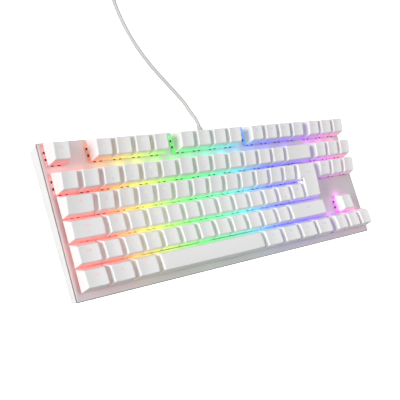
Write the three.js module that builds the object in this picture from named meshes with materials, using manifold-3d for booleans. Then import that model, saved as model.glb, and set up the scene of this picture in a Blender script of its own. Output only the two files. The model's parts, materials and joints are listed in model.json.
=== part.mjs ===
// A tenkeyless mechanical keyboard in the 88-key ISO layout, with floating keycaps on a
// metal plate, a wedge-shaped case, two flip feet and a USB lead. Millimetres, +Z up.
// The origin is on the desk, under the middle of the keyboard; +X runs along the rows
// to the right and +Y away from the typist.
import * as THREE from 'three';
import { mergeVertices } from 'three/addons/utils/BufferGeometryUtils.js';
import Module from 'manifold-3d';

const manifold = await Module();
manifold.setup();

// ---- Driving dimensions -------------------------------------------------------------

const gap = 0.3;                 // between the faces of two pieces that touch
const keyPitch = 19.05;          // centre to centre of two neighbouring keys
const gridColumns = 18.25;       // key field, in key pitches
const gridRows = 6.25;
const margin = { left: 2.4, right: 4.7, front: 5.4, rear: 1.6 };   // plate beyond the field

const plateThickness = 1.5;
const plateCorner = 1.0;
const switchHole = 14.0;         // square hole in the plate for a switch

const caseFront = 10.8;          // plate top down to the underside, at the front edge
const caseRear = 15.4;           // the same at the rear edge
const caseWall = 2.0;
const caseFloor = 1.8;
const caseLip = 0.4;             // how far the plate overhangs the case
const caseFlare = 1.06;          // how far the walls lean in on their way down
const bossRadius = 2.3;
const bossClearance = 0.5;

const boardDepth = 5.0;          // plate top down to the circuit board's top
const boardThickness = 1.6;
const boardClearance = 1.4;      // board edge to the case wall's foot, past the strain relief
const boardCorner = 1.0;

const housing = { foot: 0.6, base: 15.6, topWidth: 11.0, topDepth: 9.8, height: 6.2 };
const stem = { width: 5.6, clearance: 0.7, drop: 0.2 };   // drop: stem end below the plate's top
const stabiliser = { width: 6.2, depth: 12.0, height: 3.2, post: 3.6, clearance: 0.4 };

const travel = 4.0;              // how far a key goes down
const capGap = 0.85;             // between two neighbouring caps
const skirtClearance = 1.6;      // plate top up to the skirt of a pressed cap
const capWall = 1.2;
const capInset = { side: 2.3, front: 1.9, rear: 3.1 };   // cap top inside its skirt
const web = { depth: 2.0, height: 1.2, lift: 0.6, overlap: 0.6 };

// Height of a cap above its skirt at the front and rear edges of its top, by row.
const rows = {
  function: { y: 5.25, front: 8.9, rear: 11.5 },
  number: { y: 4, front: 8.9, rear: 11.5 },
  tab: { y: 3, front: 6.4, rear: 9.6 },
  home: { y: 2, front: 6.6, rear: 7.0 },
  shift: { y: 1, front: 7.3, rear: 6.7 },
  bottom: { y: 0, front: 8.6, rear: 7.6 },
};

const pad = { width: 26, depth: 8, height: 1.7, corner: 3 };
const padInset = { frontX: 25, frontY: 10, rearX: 77, rearY: 14 };   // pad middles inside the plate
const foot = { width: 24, length: 16, thickness: 2.6, pin: 0.9, pinLength: 1.6, lift: 0.2 };
const footInset = { side: 35, rear: 10.5 };   // hinge middle inside the plate
const footTip = { length: 2.4, inset: 1.0 };
const footPocket = { side: 0.6, rear: 2.0, front: 1.0, slack: 1.0, wall: 3.0, roof: 1.4 };

const cableRadius = 1.75;
const exit = { x: -2, z: 7.3 };  // where the cable leaves the rear wall
const relief = {
  flange: 3.1, flangeThickness: 1.0, neck: 2.5, neckClearance: 0.3, wallGap: 0.5,
  collar: 3.4, collarLength: 1.0, tip: 2.2, length: 7.0,
};

// The cable's route from the strain relief to the coil, down to the desk and along it.
const cableRoute = [
  [-2.0, 70.4, 7.3],
  [-2.0, 74.0, 7.1],
  [-2.0, 78.0, 6.1],
  [-2.1, 82.5, 4.3],
  [-2.5, 87.0, 2.6],
  [-3.6, 92.0, 1.8],
  [-6.0, 97.5, 1.8],
  [-9.6, 103.5, 1.8],
  [-14.0, 110.0, 1.8],
  [-19.0, 117.5, 1.8],
  [-24.4, 125.5, 1.8],
  [-29.8, 134.0, 1.8],
  [-34.8, 143.0, 1.8],
  [-39.2, 152.5, 1.8],
  [-43.0, 162.5, 1.8],
  [-46.0, 173.0, 1.8],
  [-48.3, 184.0, 1.8],
  [-49.8, 195.5, 1.8],
  [-50.4, 207.0, 1.8],
  [-50.5, 217.0, 1.8],
  [-50.5, 225.6, 1.8],
];
const cableSteps = 22;
const coil = { x: -25.1, y: 246, inner: 12.7, outer: 31.0, height: 14.4, corner: 3 };
const plug = { x: -8.6, y: 275, tail: 9, tailRear: 2.3, tailFront: 2.9, length: 30, width: 15.4, height: 8, corner: 2 };
const plugShell = { length: 12, width: 12, height: 4.5, wall: 0.4, tongue: 1.9, depth: 10 };

// ---- Sizes that follow --------------------------------------------------------------

const width = gridColumns * keyPitch + margin.left + margin.right;
const depth = gridRows * keyPitch + margin.front + margin.rear;
const tilt = Math.atan((caseRear - caseFront) / depth);
const desk = pad.height + gap;                       // desk up to the case's underside
const deckHeight = desk + (caseFront + caseRear) / 2 * Math.cos(tilt);
const gridLeft = -width / 2 + margin.left;
const gridFront = -depth / 2 + margin.front;
const capRest = travel + skirtClearance;             // plate top up to a cap's skirt
const pocketBottom = -(stem.drop + travel + gap);    // deck height of a stem pocket's floor
const boardInset = caseLip + caseFlare + caseWall + boardClearance;
const footX = width / 2 - footInset.side;
const hingeY = depth / 2 - footInset.rear;
const footAxisZ = desk + foot.lift + foot.thickness / 2;
const reliefWallY = depth / 2 - caseLip;             // deck Y of the rear wall's top

/** Deck X of a place in the key field, in key pitches. */
const deckX = (u) => gridLeft + u * keyPitch;
/** Deck Y of a place in the key field, in key pitches. */
const deckY = (u) => gridFront + u * keyPitch;
/** Deck height of the case's underside at a deck Y. */
const underside = (y) => -(caseFront + (y + depth / 2) / depth * (caseRear - caseFront));

// The deck stands tilted on the desk; its own frame has Z = 0 at the plate's top.
const deckMatrix = new THREE.Matrix4()
  .makeTranslation(0, 0, deckHeight)
  .multiply(new THREE.Matrix4().makeRotationX(tilt));
const deskToDeck = deckMatrix.clone().invert();

// ---- Solids -------------------------------------------------------------------------

/** A closed three.js geometry as a manifold solid. */
function solid(geometry) {
  const bare = geometry.clone();
  bare.deleteAttribute('normal');
  bare.deleteAttribute('uv');
  const merged = mergeVertices(bare, 1e-4);
  const vertProperties = new Float32Array(merged.getAttribute('position').array);
  const triVerts = new Uint32Array(merged.getIndex().array);
  return new manifold.Manifold(new manifold.Mesh({ numProp: 3, vertProperties, triVerts }));
}

/** A manifold solid as a three.js geometry. */
function geometryOf(body) {
  const mesh = body.getMesh();
  const geometry = new THREE.BufferGeometry();
  geometry.setAttribute('position', new THREE.BufferAttribute(mesh.vertProperties, 3));
  geometry.setIndex(new THREE.BufferAttribute(mesh.triVerts, 1));
  geometry.computeVertexNormals();
  return geometry;
}

/** A box between two corners. */
function box([x0, y0, z0], [x1, y1, z1]) {
  const geometry = new THREE.BoxGeometry(x1 - x0, y1 - y0, z1 - z0);
  geometry.translate((x0 + x1) / 2, (y0 + y1) / 2, (z0 + z1) / 2);
  return geometry;
}

/** A box centred on x and y, between two heights. */
function post(x, y, sizeX, sizeY, low, high) {
  return box([x - sizeX / 2, y - sizeY / 2, low], [x + sizeX / 2, y + sizeY / 2, high]);
}

/** A solid between two rings of as many points, the lower one first, both anticlockwise. */
function loft(lower, upper) {
  const count = lower.length;
  const positions = [...lower, ...upper].flatMap((p) => [p.x, p.y, p.z]);
  const index = [];
  for (let i = 0; i < count; i += 1) {
    const next = (i + 1) % count;
    index.push(i, next, count + next);
    index.push(i, count + next, count + i);
  }
  const flat = (ring) => ring.map((p) => new THREE.Vector2(p.x, p.y));
  for (const [a, b, c] of THREE.ShapeUtils.triangulateShape(flat(upper), [])) {
    index.push(count + a, count + b, count + c);
  }
  for (const [a, b, c] of THREE.ShapeUtils.triangulateShape(flat(lower), [])) {
    index.push(a, c, b);
  }
  const geometry = new THREE.BufferGeometry();
  geometry.setAttribute('position', new THREE.Float32BufferAttribute(positions, 3));
  geometry.setIndex(index);
  return geometry;
}

/** A ring from an outline of [x, y] points, with its height given by a function of y. */
const ring = (outline, height) => outline.map(([x, y]) => new THREE.Vector3(x, y, height(y)));

/** The anticlockwise outline of a rectangle. */
function rectangle(x0, y0, x1, y1) {
  return [[x0, y0], [x1, y0], [x1, y1], [x0, y1]];
}

/** The anticlockwise outline of a centred rectangle with round corners. */
function roundedOutline(sizeX, sizeY, radius, steps = 4) {
  const outline = [];
  for (const [sx, sy, start] of [[1, -1, -90], [1, 1, 0], [-1, 1, 90], [-1, -1, 180]]) {
    for (let i = 0; i <= steps; i += 1) {
      const angle = THREE.MathUtils.degToRad(start + 90 * i / steps);
      const x = sx * (sizeX / 2 - radius) + radius * Math.cos(angle);
      const y = sy * (sizeY / 2 - radius) + radius * Math.sin(angle);
      outline.push([x, y]);
    }
  }
  return outline;
}

/** An outline whose edges all run along X or Y, with each edge moved in by its own inset. */
function insetOutline(outline, { side, front, rear }) {
  const count = outline.length;
  const shift = ([x0, y0], [x1, y1]) => [
    y1 > y0 ? -side : y1 < y0 ? side : 0,
    x1 > x0 ? front : x1 < x0 ? -rear : 0,
  ];
  return outline.map(([x, y], i) => {
    const before = shift(outline[(i + count - 1) % count], outline[i]);
    const after = shift(outline[i], outline[(i + 1) % count]);
    return [x + before[0] + after[0], y + before[1] + after[1]];
  });
}

/** A flat slab from an outline, between two heights. */
function slab(outline, low, high) {
  const shape = new THREE.Shape(outline.map(([x, y]) => new THREE.Vector2(x, y)));
  const geometry = new THREE.ExtrudeGeometry(shape, { depth: high - low, bevelEnabled: false });
  geometry.translate(0, 0, low);
  return geometry;
}

/** The outline of a regular polygon that stands for a round hole or post. */
function circle(x, y, radius, sides = 12) {
  const corner = (i) => 2 * Math.PI * (i + 0.5) / sides;
  const point = (_, i) => [x + radius * Math.cos(corner(i)), y + radius * Math.sin(corner(i))];
  return Array.from({ length: sides }, point);
}

/** A cylinder along X. */
function rodAlongX(x0, x1, y, z, radius, sides = 12) {
  const geometry = new THREE.CylinderGeometry(radius, radius, x1 - x0, sides);
  geometry.rotateZ(Math.PI / 2);
  geometry.translate((x0 + x1) / 2, y, z);
  return geometry;
}

/** A turned solid along +Y from a profile of [radius, y] points. */
function turnedAlongY(profile, x, z, sides = 16) {
  const points = profile.map(([radius, y]) => new THREE.Vector2(radius, y));
  const geometry = new THREE.LatheGeometry(points, sides);
  geometry.translate(x, 0, z);
  return geometry;
}

// ---- Keys ---------------------------------------------------------------------------

const enterMiddle = { x: 14.375, y: 3 };
const keys = [];

/** Adds one key: its row, its left edge and its width, in key pitches. */
function addKey(name, row, x, units = 1, posts = []) {
  keys.push({ name, row, x, units, posts });
}

addKey('key_escape', 'function', 0);
for (let i = 0; i < 12; i += 1) {
  addKey(`key_f${i + 1}`, 'function', 2 + i + 0.5 * Math.floor(i / 4));
}
const clusterX = 15.25;
['key_print_screen', 'key_scroll_lock', 'key_pause'].forEach((name, i) => {
  addKey(name, 'function', clusterX + i);
});
['key_insert', 'key_home', 'key_page_up'].forEach((name, i) => {
  addKey(name, 'number', clusterX + i);
});
['key_delete', 'key_end', 'key_page_down'].forEach((name, i) => {
  addKey(name, 'tab', clusterX + i);
});
['key_left', 'key_down', 'key_right'].forEach((name, i) => {
  addKey(name, 'bottom', clusterX + i);
});
addKey('key_up', 'shift', clusterX + 1);
const wideSpacing = 11.9;        // stabiliser posts beside the middle of a wide key
const spaceSpacing = 50.0;       // the same on the space bar
addKey('key_backspace', 'number', 13, 2, [-wideSpacing, wideSpacing]);
addKey('key_tab', 'tab', 0, 1.5);
addKey('key_caps_lock', 'home', 0, 1.75);
addKey('key_left_shift', 'shift', 0, 1.25);
addKey('key_right_shift', 'shift', 12.25, 2.75, [-wideSpacing, wideSpacing]);
['key_left_control', 'key_left_super', 'key_left_alt'].forEach((name, i) => {
  addKey(name, 'bottom', 1.25 * i, 1.25);
});
addKey('key_space', 'bottom', 3.75, 6.25, [-spaceSpacing, spaceSpacing]);
['key_right_alt', 'key_function', 'key_menu', 'key_right_control'].forEach((name, i) => {
  addKey(name, 'bottom', 10 + 1.25 * i, 1.25);
});

// Rows of plain keys whose caps are joined by short webs, so that each row is one solid.
const keyRows = [
  { name: 'keys_number_row', row: 'number', x: 0, count: 13 },
  { name: 'keys_upper_letter_row', row: 'tab', x: 1.5, count: 12 },
  { name: 'keys_home_letter_row', row: 'home', x: 1.75, count: 12 },
  { name: 'keys_lower_letter_row', row: 'shift', x: 1.25, count: 11 },
];

/** Every switch's middle on the deck, in millimetres. */
function switchPlaces() {
  const single = keys.map((k) => [deckX(k.x + k.units / 2), deckY(rows[k.row].y + 0.5)]);
  const inRows = keyRows.flatMap(({ row, x, count }) => Array.from({ length: count }, (_, i) => [
    deckX(x + i + 0.5),
    deckY(rows[row].y + 0.5),
  ]));
  return [...single, ...inRows, [deckX(enterMiddle.x), deckY(enterMiddle.y)]];
}

/** Every stabiliser's middle on the deck, with its sizes along X and Y. */
function stabiliserPlaces() {
  const beside = keys.flatMap((k) => k.posts.map((offset) => ({
    x: deckX(k.x + k.units / 2) + offset,
    y: deckY(rows[k.row].y + 0.5),
    sizeX: stabiliser.width,
    sizeY: stabiliser.depth,
  })));
  const aboveAndBelow = [-wideSpacing, wideSpacing].map((offset) => ({
    x: deckX(enterMiddle.x),
    y: deckY(enterMiddle.y) + offset,
    sizeX: stabiliser.depth,
    sizeY: stabiliser.width,
  }));
  return [...beside, ...aboveAndBelow];
}

/** A hollow cap over an outline, open at the skirt, with posts that reach into the switches. */
function cap(outline, frontHeight, rearHeight, posts) {
  const top = insetOutline(outline, capInset);
  const topY = top.map(([, y]) => y);
  const yFront = Math.min(...topY);
  const yRear = Math.max(...topY);
  const slope = (rearHeight - frontHeight) / (yRear - yFront);
  const topAt = (y) => capRest + frontHeight + (y - yFront) * slope;
  const wall = { side: capWall, front: capWall, rear: capWall };
  const shell = solid(loft(ring(outline, () => capRest), ring(top, topAt)));
  const hollow = loft(
    ring(insetOutline(outline, wall), () => capRest - capWall),
    ring(insetOutline(top, wall), (y) => topAt(y) - capWall),
  );
  let body = shell.subtract(solid(hollow));
  for (const [x, y, size] of posts) {
    const roof = topAt(y) - capWall / 2;
    body = body.add(solid(post(x, y, size, size, -stem.drop, roof)));
  }
  return body;
}

/** The cap of a key that covers whole rows of one height. */
function plainCap(x, units, row, postOffsets = []) {
  const { y, front, rear } = rows[row];
  const outline = rectangle(
    deckX(x) + capGap / 2,
    deckY(y) + capGap / 2,
    deckX(x + units) - capGap / 2,
    deckY(y + 1) - capGap / 2,
  );
  const middle = [deckX(x + units / 2), deckY(y + 0.5)];
  const guides = postOffsets.map((offset) => [middle[0] + offset, middle[1], stabiliser.post]);
  return cap(outline, front, rear, [[...middle, stem.width], ...guides]);
}

/** The L-shaped Enter cap over two rows. */
function enterCap() {
  const half = capGap / 2;
  const [left, step, right] = [deckX(13.5) + half, deckX(13.75) + half, deckX(15) - half];
  const [front, shoulder, rear] = [deckY(2) + half, deckY(3) + half, deckY(4) - half];
  const outline = [[step, front], [right, front], [right, rear], [left, rear], [left, shoulder], [step, shoulder]];
  const middle = [deckX(enterMiddle.x), deckY(enterMiddle.y)];
  const guides = [-wideSpacing, wideSpacing].map((offset) => [middle[0], middle[1] + offset, stabiliser.post]);
  return cap(outline, rows.home.front, rows.tab.rear, [[...middle, stem.width], ...guides]);
}

/** A row of one-unit caps joined by a web between each two skirts. */
function capRow({ row, x, count }) {
  let body = plainCap(x, 1, row);
  const y = deckY(rows[row].y + 0.5);
  for (let i = 1; i < count; i += 1) {
    const joint = deckX(x + i);
    const reach = capGap + 2 * web.overlap;
    const low = capRest + web.lift;
    body = body.add(plainCap(x + i, 1, row));
    body = body.add(solid(post(joint, y, reach, web.depth, low, low + web.height)));
  }
  return body;
}

// ---- Deck: plate, circuit board and case ----------------------------------------------

const plateOutline = roundedOutline(width, depth, plateCorner);
const bossPlaces = [
  [1.5, 5.125], [8.75, 5.125], [15.125, 5.125], [3, 1], [8.75, 1], [15.125, 1],
].map(([u, v]) => [deckX(u), deckY(v)]);

/** The metal plate with its switch and stabiliser holes. */
function switchPlate() {
  const low = -plateThickness;
  let body = solid(slab(plateOutline, low, 0));
  for (const [x, y] of switchPlaces()) {
    body = body.subtract(solid(post(x, y, switchHole, switchHole, low - 1, 1)));
  }
  for (const { x, y, sizeX, sizeY } of stabiliserPlaces()) {
    body = body.subtract(solid(post(x, y, sizeX + 2 * gap, sizeY + 2 * gap, low - 1, 1)));
  }
  return body;
}

/** One switch housing: a box below the plate's top, a tapered top and the stem's pocket. */
function switchHousing(x, y) {
  const below = switchHole - housing.foot;
  const lower = solid(post(x, y, below, below, -boardDepth - gap, 2 * gap));
  const base = housing.base / 2;
  const topX = housing.topWidth / 2;
  const topY = housing.topDepth / 2;
  const upper = loft(
    ring(rectangle(x - base, y - base, x + base, y + base), () => gap),
    ring(rectangle(x - topX, y - topY, x + topX, y + topY), () => housing.height),
  );
  const pocket = stem.width + 2 * stem.clearance;
  const hollow = post(x, y, pocket, pocket, pocketBottom, housing.height + 1);
  return lower.add(solid(upper)).subtract(solid(hollow));
}

/** One stabiliser housing with the pocket of its post. */
function stabiliserHousing({ x, y, sizeX, sizeY }) {
  const outer = solid(post(x, y, sizeX, sizeY, -boardDepth - gap, stabiliser.height));
  const pocket = stabiliser.post + 2 * stabiliser.clearance;
  const hollow = post(x, y, pocket, pocket, pocketBottom, stabiliser.height + 1);
  return outer.subtract(solid(hollow));
}

/** The circuit board with the switch and stabiliser housings that are soldered to it. */
function circuitBoard() {
  const edge = 2 * boardInset;
  const outline = roundedOutline(width - edge, depth - edge, boardCorner);
  const low = -boardDepth - boardThickness;
  let body = solid(slab(outline, low, -boardDepth));
  for (const [x, y] of bossPlaces) {
    const hole = circle(x, y, bossRadius + bossClearance);
    body = body.subtract(solid(slab(hole, low - 1, 1 - boardDepth)));
  }
  for (const [x, y] of switchPlaces()) {
    body = body.add(switchHousing(x, y));
  }
  for (const place of stabiliserPlaces()) {
    body = body.add(stabiliserHousing(place));
  }
  return body;
}

/** Desk-frame geometry brought into the deck's frame. */
const inDeck = (geometry) => solid(geometry.applyMatrix4(deskToDeck));

/** The tray that closes the keyboard from below, with screw bosses and foot pockets. */
function bottomCase() {
  const lip = 2 * caseLip;
  const lean = 2 * caseFlare;
  const wall = 2 * caseWall;
  const high = -plateThickness - gap;
  const outerTop = roundedOutline(width - lip, depth - lip, plateCorner);
  const outerLow = roundedOutline(width - lip - lean, depth - lip - lean, plateCorner);
  const innerTop = roundedOutline(width - lip - wall, depth - lip - wall, plateCorner);
  const innerLow = roundedOutline(width - lip - lean - wall, depth - lip - lean - wall, plateCorner);
  let body = solid(loft(ring(outerLow, underside), ring(outerTop, () => high)));
  const hollow = loft(ring(innerLow, (y) => underside(y) + caseFloor), ring(innerTop, () => high + 1));
  body = body.subtract(solid(hollow));
  for (const [x, y] of bossPlaces) {
    const boss = slab(circle(x, y, bossRadius), underside(y) + caseFloor / 2, high);
    body = body.add(solid(boss));
  }
  for (const side of [-1, 1]) {
    const x = side * footX;
    const halfWidth = foot.width / 2 + footPocket.side;
    const rear = hingeY + footPocket.rear;
    const front = hingeY - foot.length - gap - footTip.length - footPocket.front;
    const roof = desk + foot.thickness + footPocket.slack;
    const rim = footPocket.wall;
    const block = box(
      [x - halfWidth - rim, front - rim, desk + caseFloor / 2],
      [x + halfWidth + rim, rear + rim, roof + footPocket.roof],
    );
    const pocket = box([x - halfWidth, front, desk - 1], [x + halfWidth, rear, roof]);
    const pinReach = foot.width / 2 + foot.pinLength + gap;
    const pinHole = rodAlongX(x - pinReach, x + pinReach, hingeY, footAxisZ, foot.pin + gap);
    body = body.add(inDeck(block)).subtract(inDeck(pocket)).subtract(inDeck(pinHole));
  }
  const hole = relief.neck + relief.neckClearance;
  const bore = turnedAlongY(
    [[0, reliefWallY - 3 * caseWall], [hole, reliefWallY - 3 * caseWall], [hole, reliefWallY + 2], [0, reliefWallY + 2]],
    exit.x,
    exit.z,
  );
  return body.subtract(inDeck(bore));
}

// ---- Desk-frame pieces ----------------------------------------------------------------

/** One rubber pad under the case. */
function rubberPad() {
  return slab(roundedOutline(pad.width, pad.depth, pad.corner, 3), 0, pad.height);
}

/** One flip foot, folded flat, with its two hinge pins. */
function flipFoot(x) {
  const half = foot.thickness / 2;
  const profile = new THREE.Shape();
  profile.moveTo(-foot.length, -half);
  profile.lineTo(0, -half);
  profile.absarc(0, 0, half, -Math.PI / 2, Math.PI / 2, false);
  profile.lineTo(-foot.length, half);
  const blade = new THREE.ExtrudeGeometry(profile, { depth: foot.width, bevelEnabled: false, curveSegments: 5 });
  blade.translate(0, 0, -foot.width / 2);
  blade.rotateY(Math.PI / 2);
  blade.rotateX(Math.PI / 2);
  blade.translate(x, hingeY, footAxisZ);
  const reach = foot.width / 2 + foot.pinLength;
  return solid(blade).add(solid(rodAlongX(x - reach, x + reach, hingeY, footAxisZ, foot.pin)));
}

/** The rubber tip on a flip foot's free end. */
function footTipPiece(x) {
  const half = foot.thickness / 2;
  const rear = hingeY - foot.length - gap;
  const reach = foot.width / 2 - footTip.inset;
  return box([x - reach, rear - footTip.length, footAxisZ - half], [x + reach, rear, footAxisZ + half]);
}

/** The strain relief: a flange inside the wall, a neck through it and a tapered sleeve. */
function strainRelief() {
  const high = -plateThickness - gap;
  const height = (exit.z - deckHeight - reliefWallY * Math.sin(tilt)) / Math.cos(tilt);
  const lean = caseFlare * (high - height) / (high + caseRear);
  const outer = (reliefWallY - lean) * Math.cos(tilt) - height * Math.sin(tilt);
  const inside = outer - caseWall - relief.wallGap;
  const outside = outer + relief.wallGap;
  return turnedAlongY([
    [0, inside - relief.flangeThickness],
    [relief.flange, inside - relief.flangeThickness],
    [relief.flange, inside],
    [relief.neck, inside],
    [relief.neck, outside],
    [relief.collar, outside],
    [relief.collar, outside + relief.collarLength],
    [relief.tip, outside + relief.length],
    [0, outside + relief.length],
  ], exit.x, exit.z);
}

/** The uncoiled stretch of the cable. */
function cableTube() {
  const path = new THREE.CatmullRomCurve3(cableRoute.map((p) => new THREE.Vector3(...p)));
  const section = new THREE.Shape(circle(0, 0, cableRadius, 8).map(([x, y]) => new THREE.Vector2(x, y)));
  return new THREE.ExtrudeGeometry(section, { steps: cableSteps, extrudePath: path });
}

/** The outer shape of the coil that holds the rest of the cable. */
function cableCoil() {
  const { inner, outer, height, corner } = coil;
  const points = [
    [inner, 0],
    [outer, 0],
    [outer, height - corner],
    [outer - corner, height],
    [inner, height],
    [inner, 0],
  ].map(([r, z]) => new THREE.Vector2(r, z));
  const geometry = new THREE.LatheGeometry(points, 24);
  geometry.rotateX(Math.PI / 2);
  geometry.translate(coil.x, coil.y, 0);
  return geometry;
}

/** The moulded body of the plug, with its tapered tail towards the coil. */
function plugBody() {
  const section = roundedOutline(plug.width, plug.height, plug.corner, 3);
  const grip = slab(section, 0, plug.length);
  grip.rotateX(Math.PI / 2);
  grip.rotateZ(Math.PI / 2);
  grip.translate(plug.x + plug.tail, plug.y, plug.height / 2);
  const tail = new THREE.CylinderGeometry(plug.tailFront, plug.tailRear, plug.tail + 1, 12);
  tail.rotateZ(-Math.PI / 2);
  tail.translate(plug.x + (plug.tail + 1) / 2, plug.y, plug.height / 2);
  return solid(grip).add(solid(tail));
}

/** The metal shell of the plug, hollow above its contact tongue. */
function plugShellPiece() {
  const start = plug.x + plug.tail + plug.length + gap;
  const end = start + plugShell.length;
  const middle = plug.height / 2;
  const halfWidth = plugShell.width / 2;
  const halfHeight = plugShell.height / 2;
  const wall = plugShell.wall;
  const outer = box(
    [start, plug.y - halfWidth, middle - halfHeight],
    [end, plug.y + halfWidth, middle + halfHeight],
  );
  const hollow = box(
    [end - plugShell.depth, plug.y - halfWidth + wall, middle - halfHeight + wall + plugShell.tongue],
    [end + 1, plug.y + halfWidth - wall, middle + halfHeight - wall],
  );
  return solid(outer).subtract(solid(hollow));
}

// ---- Assembly -------------------------------------------------------------------------

const finishes = {
  whitePaint: { color: 0xe9e9ec, roughness: 0.45, metalness: 0.1 },
  whitePlastic: { color: 0xf2f2f2, roughness: 0.5, metalness: 0.0 },
  capPlastic: { color: 0xdcdcdc, roughness: 0.55, metalness: 0.0 },
  board: { color: 0xd8dcd8, roughness: 0.6, metalness: 0.0 },
  rubber: { color: 0x9a9a9c, roughness: 0.9, metalness: 0.0 },
  cable: { color: 0xb9bdba, roughness: 0.6, metalness: 0.0 },
  steel: { color: 0xb8bac0, roughness: 0.3, metalness: 1.0 },
};

const keyboard = new THREE.Group();
const deck = new THREE.Group();
deck.position.setFromMatrixPosition(deckMatrix);
deck.rotation.x = tilt;
keyboard.add(deck);

/** Adds a named mesh to a group, from a geometry or a manifold solid. */
function place(parent, name, shape, finish) {
  const geometry = shape.isBufferGeometry ? shape : geometryOf(shape);
  const mesh = new THREE.Mesh(geometry, new THREE.MeshStandardMaterial(finishes[finish]));
  mesh.name = name;
  parent.add(mesh);
  return mesh;
}

place(deck, 'bottom_case', bottomCase(), 'whitePlastic');
place(deck, 'switch_plate', switchPlate(), 'whitePaint');
place(deck, 'circuit_board', circuitBoard(), 'board');
for (const key of keys) {
  place(deck, key.name, plainCap(key.x, key.units, key.row, key.posts), 'capPlastic');
}
place(deck, 'key_enter', enterCap(), 'capPlastic');
for (const row of keyRows) {
  place(deck, row.name, capRow(row), 'capPlastic');
}

for (const [name, x, y] of [
  ['pad_front_left', padInset.frontX - width / 2, padInset.frontY - depth / 2],
  ['pad_front_right', width / 2 - padInset.frontX, padInset.frontY - depth / 2],
  ['pad_rear_left', padInset.rearX - width / 2, depth / 2 - padInset.rearY],
  ['pad_rear_right', width / 2 - padInset.rearX, depth / 2 - padInset.rearY],
]) {
  place(keyboard, name, rubberPad(), 'rubber').position.set(x, y, 0);
}
for (const [side, x] of [['left', -footX], ['right', footX]]) {
  place(keyboard, `flip_foot_${side}`, flipFoot(x), 'whitePlastic');
  place(keyboard, `foot_tip_${side}`, footTipPiece(x), 'rubber');
}
place(keyboard, 'strain_relief', strainRelief(), 'cable');
place(keyboard, 'cable', cableTube(), 'cable');
place(keyboard, 'cable_coil', cableCoil(), 'cable');
place(keyboard, 'plug_body', plugBody(), 'cable');
place(keyboard, 'plug_shell', plugShellPiece(), 'steel');

export default keyboard;
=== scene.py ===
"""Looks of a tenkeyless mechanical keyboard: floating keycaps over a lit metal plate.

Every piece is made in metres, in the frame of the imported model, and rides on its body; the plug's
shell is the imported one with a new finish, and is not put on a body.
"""

import functools
import itertools
import json
import logging
import math
from dataclasses import dataclass, field
from enum import Enum, IntEnum
from typing import Callable, Iterable

import bmesh
import bpy
from mathutils import Matrix, Vector


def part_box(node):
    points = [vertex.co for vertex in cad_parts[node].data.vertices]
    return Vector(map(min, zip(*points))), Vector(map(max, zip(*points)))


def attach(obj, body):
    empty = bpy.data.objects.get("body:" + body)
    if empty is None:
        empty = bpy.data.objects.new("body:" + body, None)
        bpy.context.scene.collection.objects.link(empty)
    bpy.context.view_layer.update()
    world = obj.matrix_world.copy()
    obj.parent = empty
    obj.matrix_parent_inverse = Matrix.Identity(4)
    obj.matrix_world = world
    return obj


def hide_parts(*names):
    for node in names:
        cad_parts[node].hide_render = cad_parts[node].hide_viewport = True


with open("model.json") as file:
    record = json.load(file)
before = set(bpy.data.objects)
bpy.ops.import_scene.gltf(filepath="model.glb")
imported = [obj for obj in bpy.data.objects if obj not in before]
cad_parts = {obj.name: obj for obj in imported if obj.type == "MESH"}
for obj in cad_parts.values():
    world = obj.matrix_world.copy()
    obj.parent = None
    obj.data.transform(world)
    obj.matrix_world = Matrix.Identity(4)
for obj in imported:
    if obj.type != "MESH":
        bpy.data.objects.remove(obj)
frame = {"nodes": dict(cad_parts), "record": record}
log = logging.getLogger("keyboard")

MM = 0.001
Colour = tuple[float, float, float]
Triple = tuple[float, float, float]
Rectangle = tuple[float, float, float, float]
Height = Callable[[float, float], float]
Mesh = bmesh.types.BMesh
Piece = bpy.types.Object
Material = bpy.types.Material


def ease(share: float) -> float:
    """A share from 0 to 1 that starts and ends gently."""
    return share * share * (3 - 2 * share)


def as_data(name: str, mesh: Mesh) -> bpy.types.Mesh:
    """Turns a mesh in the making into mesh data, and frees it.

    Args:
        name: the data's name.
        mesh: the mesh, which is used up.

    Returns:
        The mesh data.
    """
    data = bpy.data.meshes.new(name)
    mesh.to_mesh(data)
    mesh.free()
    return data


def linked(name: str, data: bpy.types.ID) -> Piece:
    """Adds an object to the scene.

    Args:
        name: the object's name.
        data: its mesh, curve, light or camera.

    Returns:
        The object.
    """
    made = bpy.data.objects.new(name, data)
    bpy.context.scene.collection.objects.link(made)
    return made


# ---- Shader maths ----------------------------------------------------------------------


class Signal:
    """One output of a shader node, which takes part in Python expressions."""

    def __init__(self, shader: "Shader", socket: bpy.types.NodeSocket) -> None:
        """Wraps a socket.

        Args:
            shader: the shader that the socket belongs to.
            socket: the output socket.
        """
        self.shader = shader
        self.socket = socket

    def maths(self, operation: str, *values: "Signal | float", clamp: bool = False) -> "Signal":
        """Adds one Math node.

        Args:
            operation: the Math node's operation.
            values: its inputs, in order.
            clamp: whether the result is kept between 0 and 1.

        Returns:
            The node's output.
        """
        settings = {"operation": operation, "use_clamp": clamp}
        made = self.shader.node("ShaderNodeMath", settings, dict(enumerate(values)))
        return Signal(self.shader, made.outputs[0])

    def __add__(self, other: "Signal | float") -> "Signal":
        """Sum."""
        return self.maths("ADD", self, other)

    def __radd__(self, other: float) -> "Signal":
        """Sum with the number first."""
        return self.maths("ADD", other, self)

    def __sub__(self, other: "Signal | float") -> "Signal":
        """Difference."""
        return self.maths("SUBTRACT", self, other)

    def __rsub__(self, other: float) -> "Signal":
        """Difference with the number first."""
        return self.maths("SUBTRACT", other, self)

    def __mul__(self, other: "Signal | float") -> "Signal":
        """Product."""
        return self.maths("MULTIPLY", self, other)

    def __rmul__(self, other: float) -> "Signal":
        """Product with the number first."""
        return self.maths("MULTIPLY", other, self)

    def clamped(self) -> "Signal":
        """The value kept between 0 and 1."""
        return self.maths("ADD", self, 0.0, clamp=True)


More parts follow.
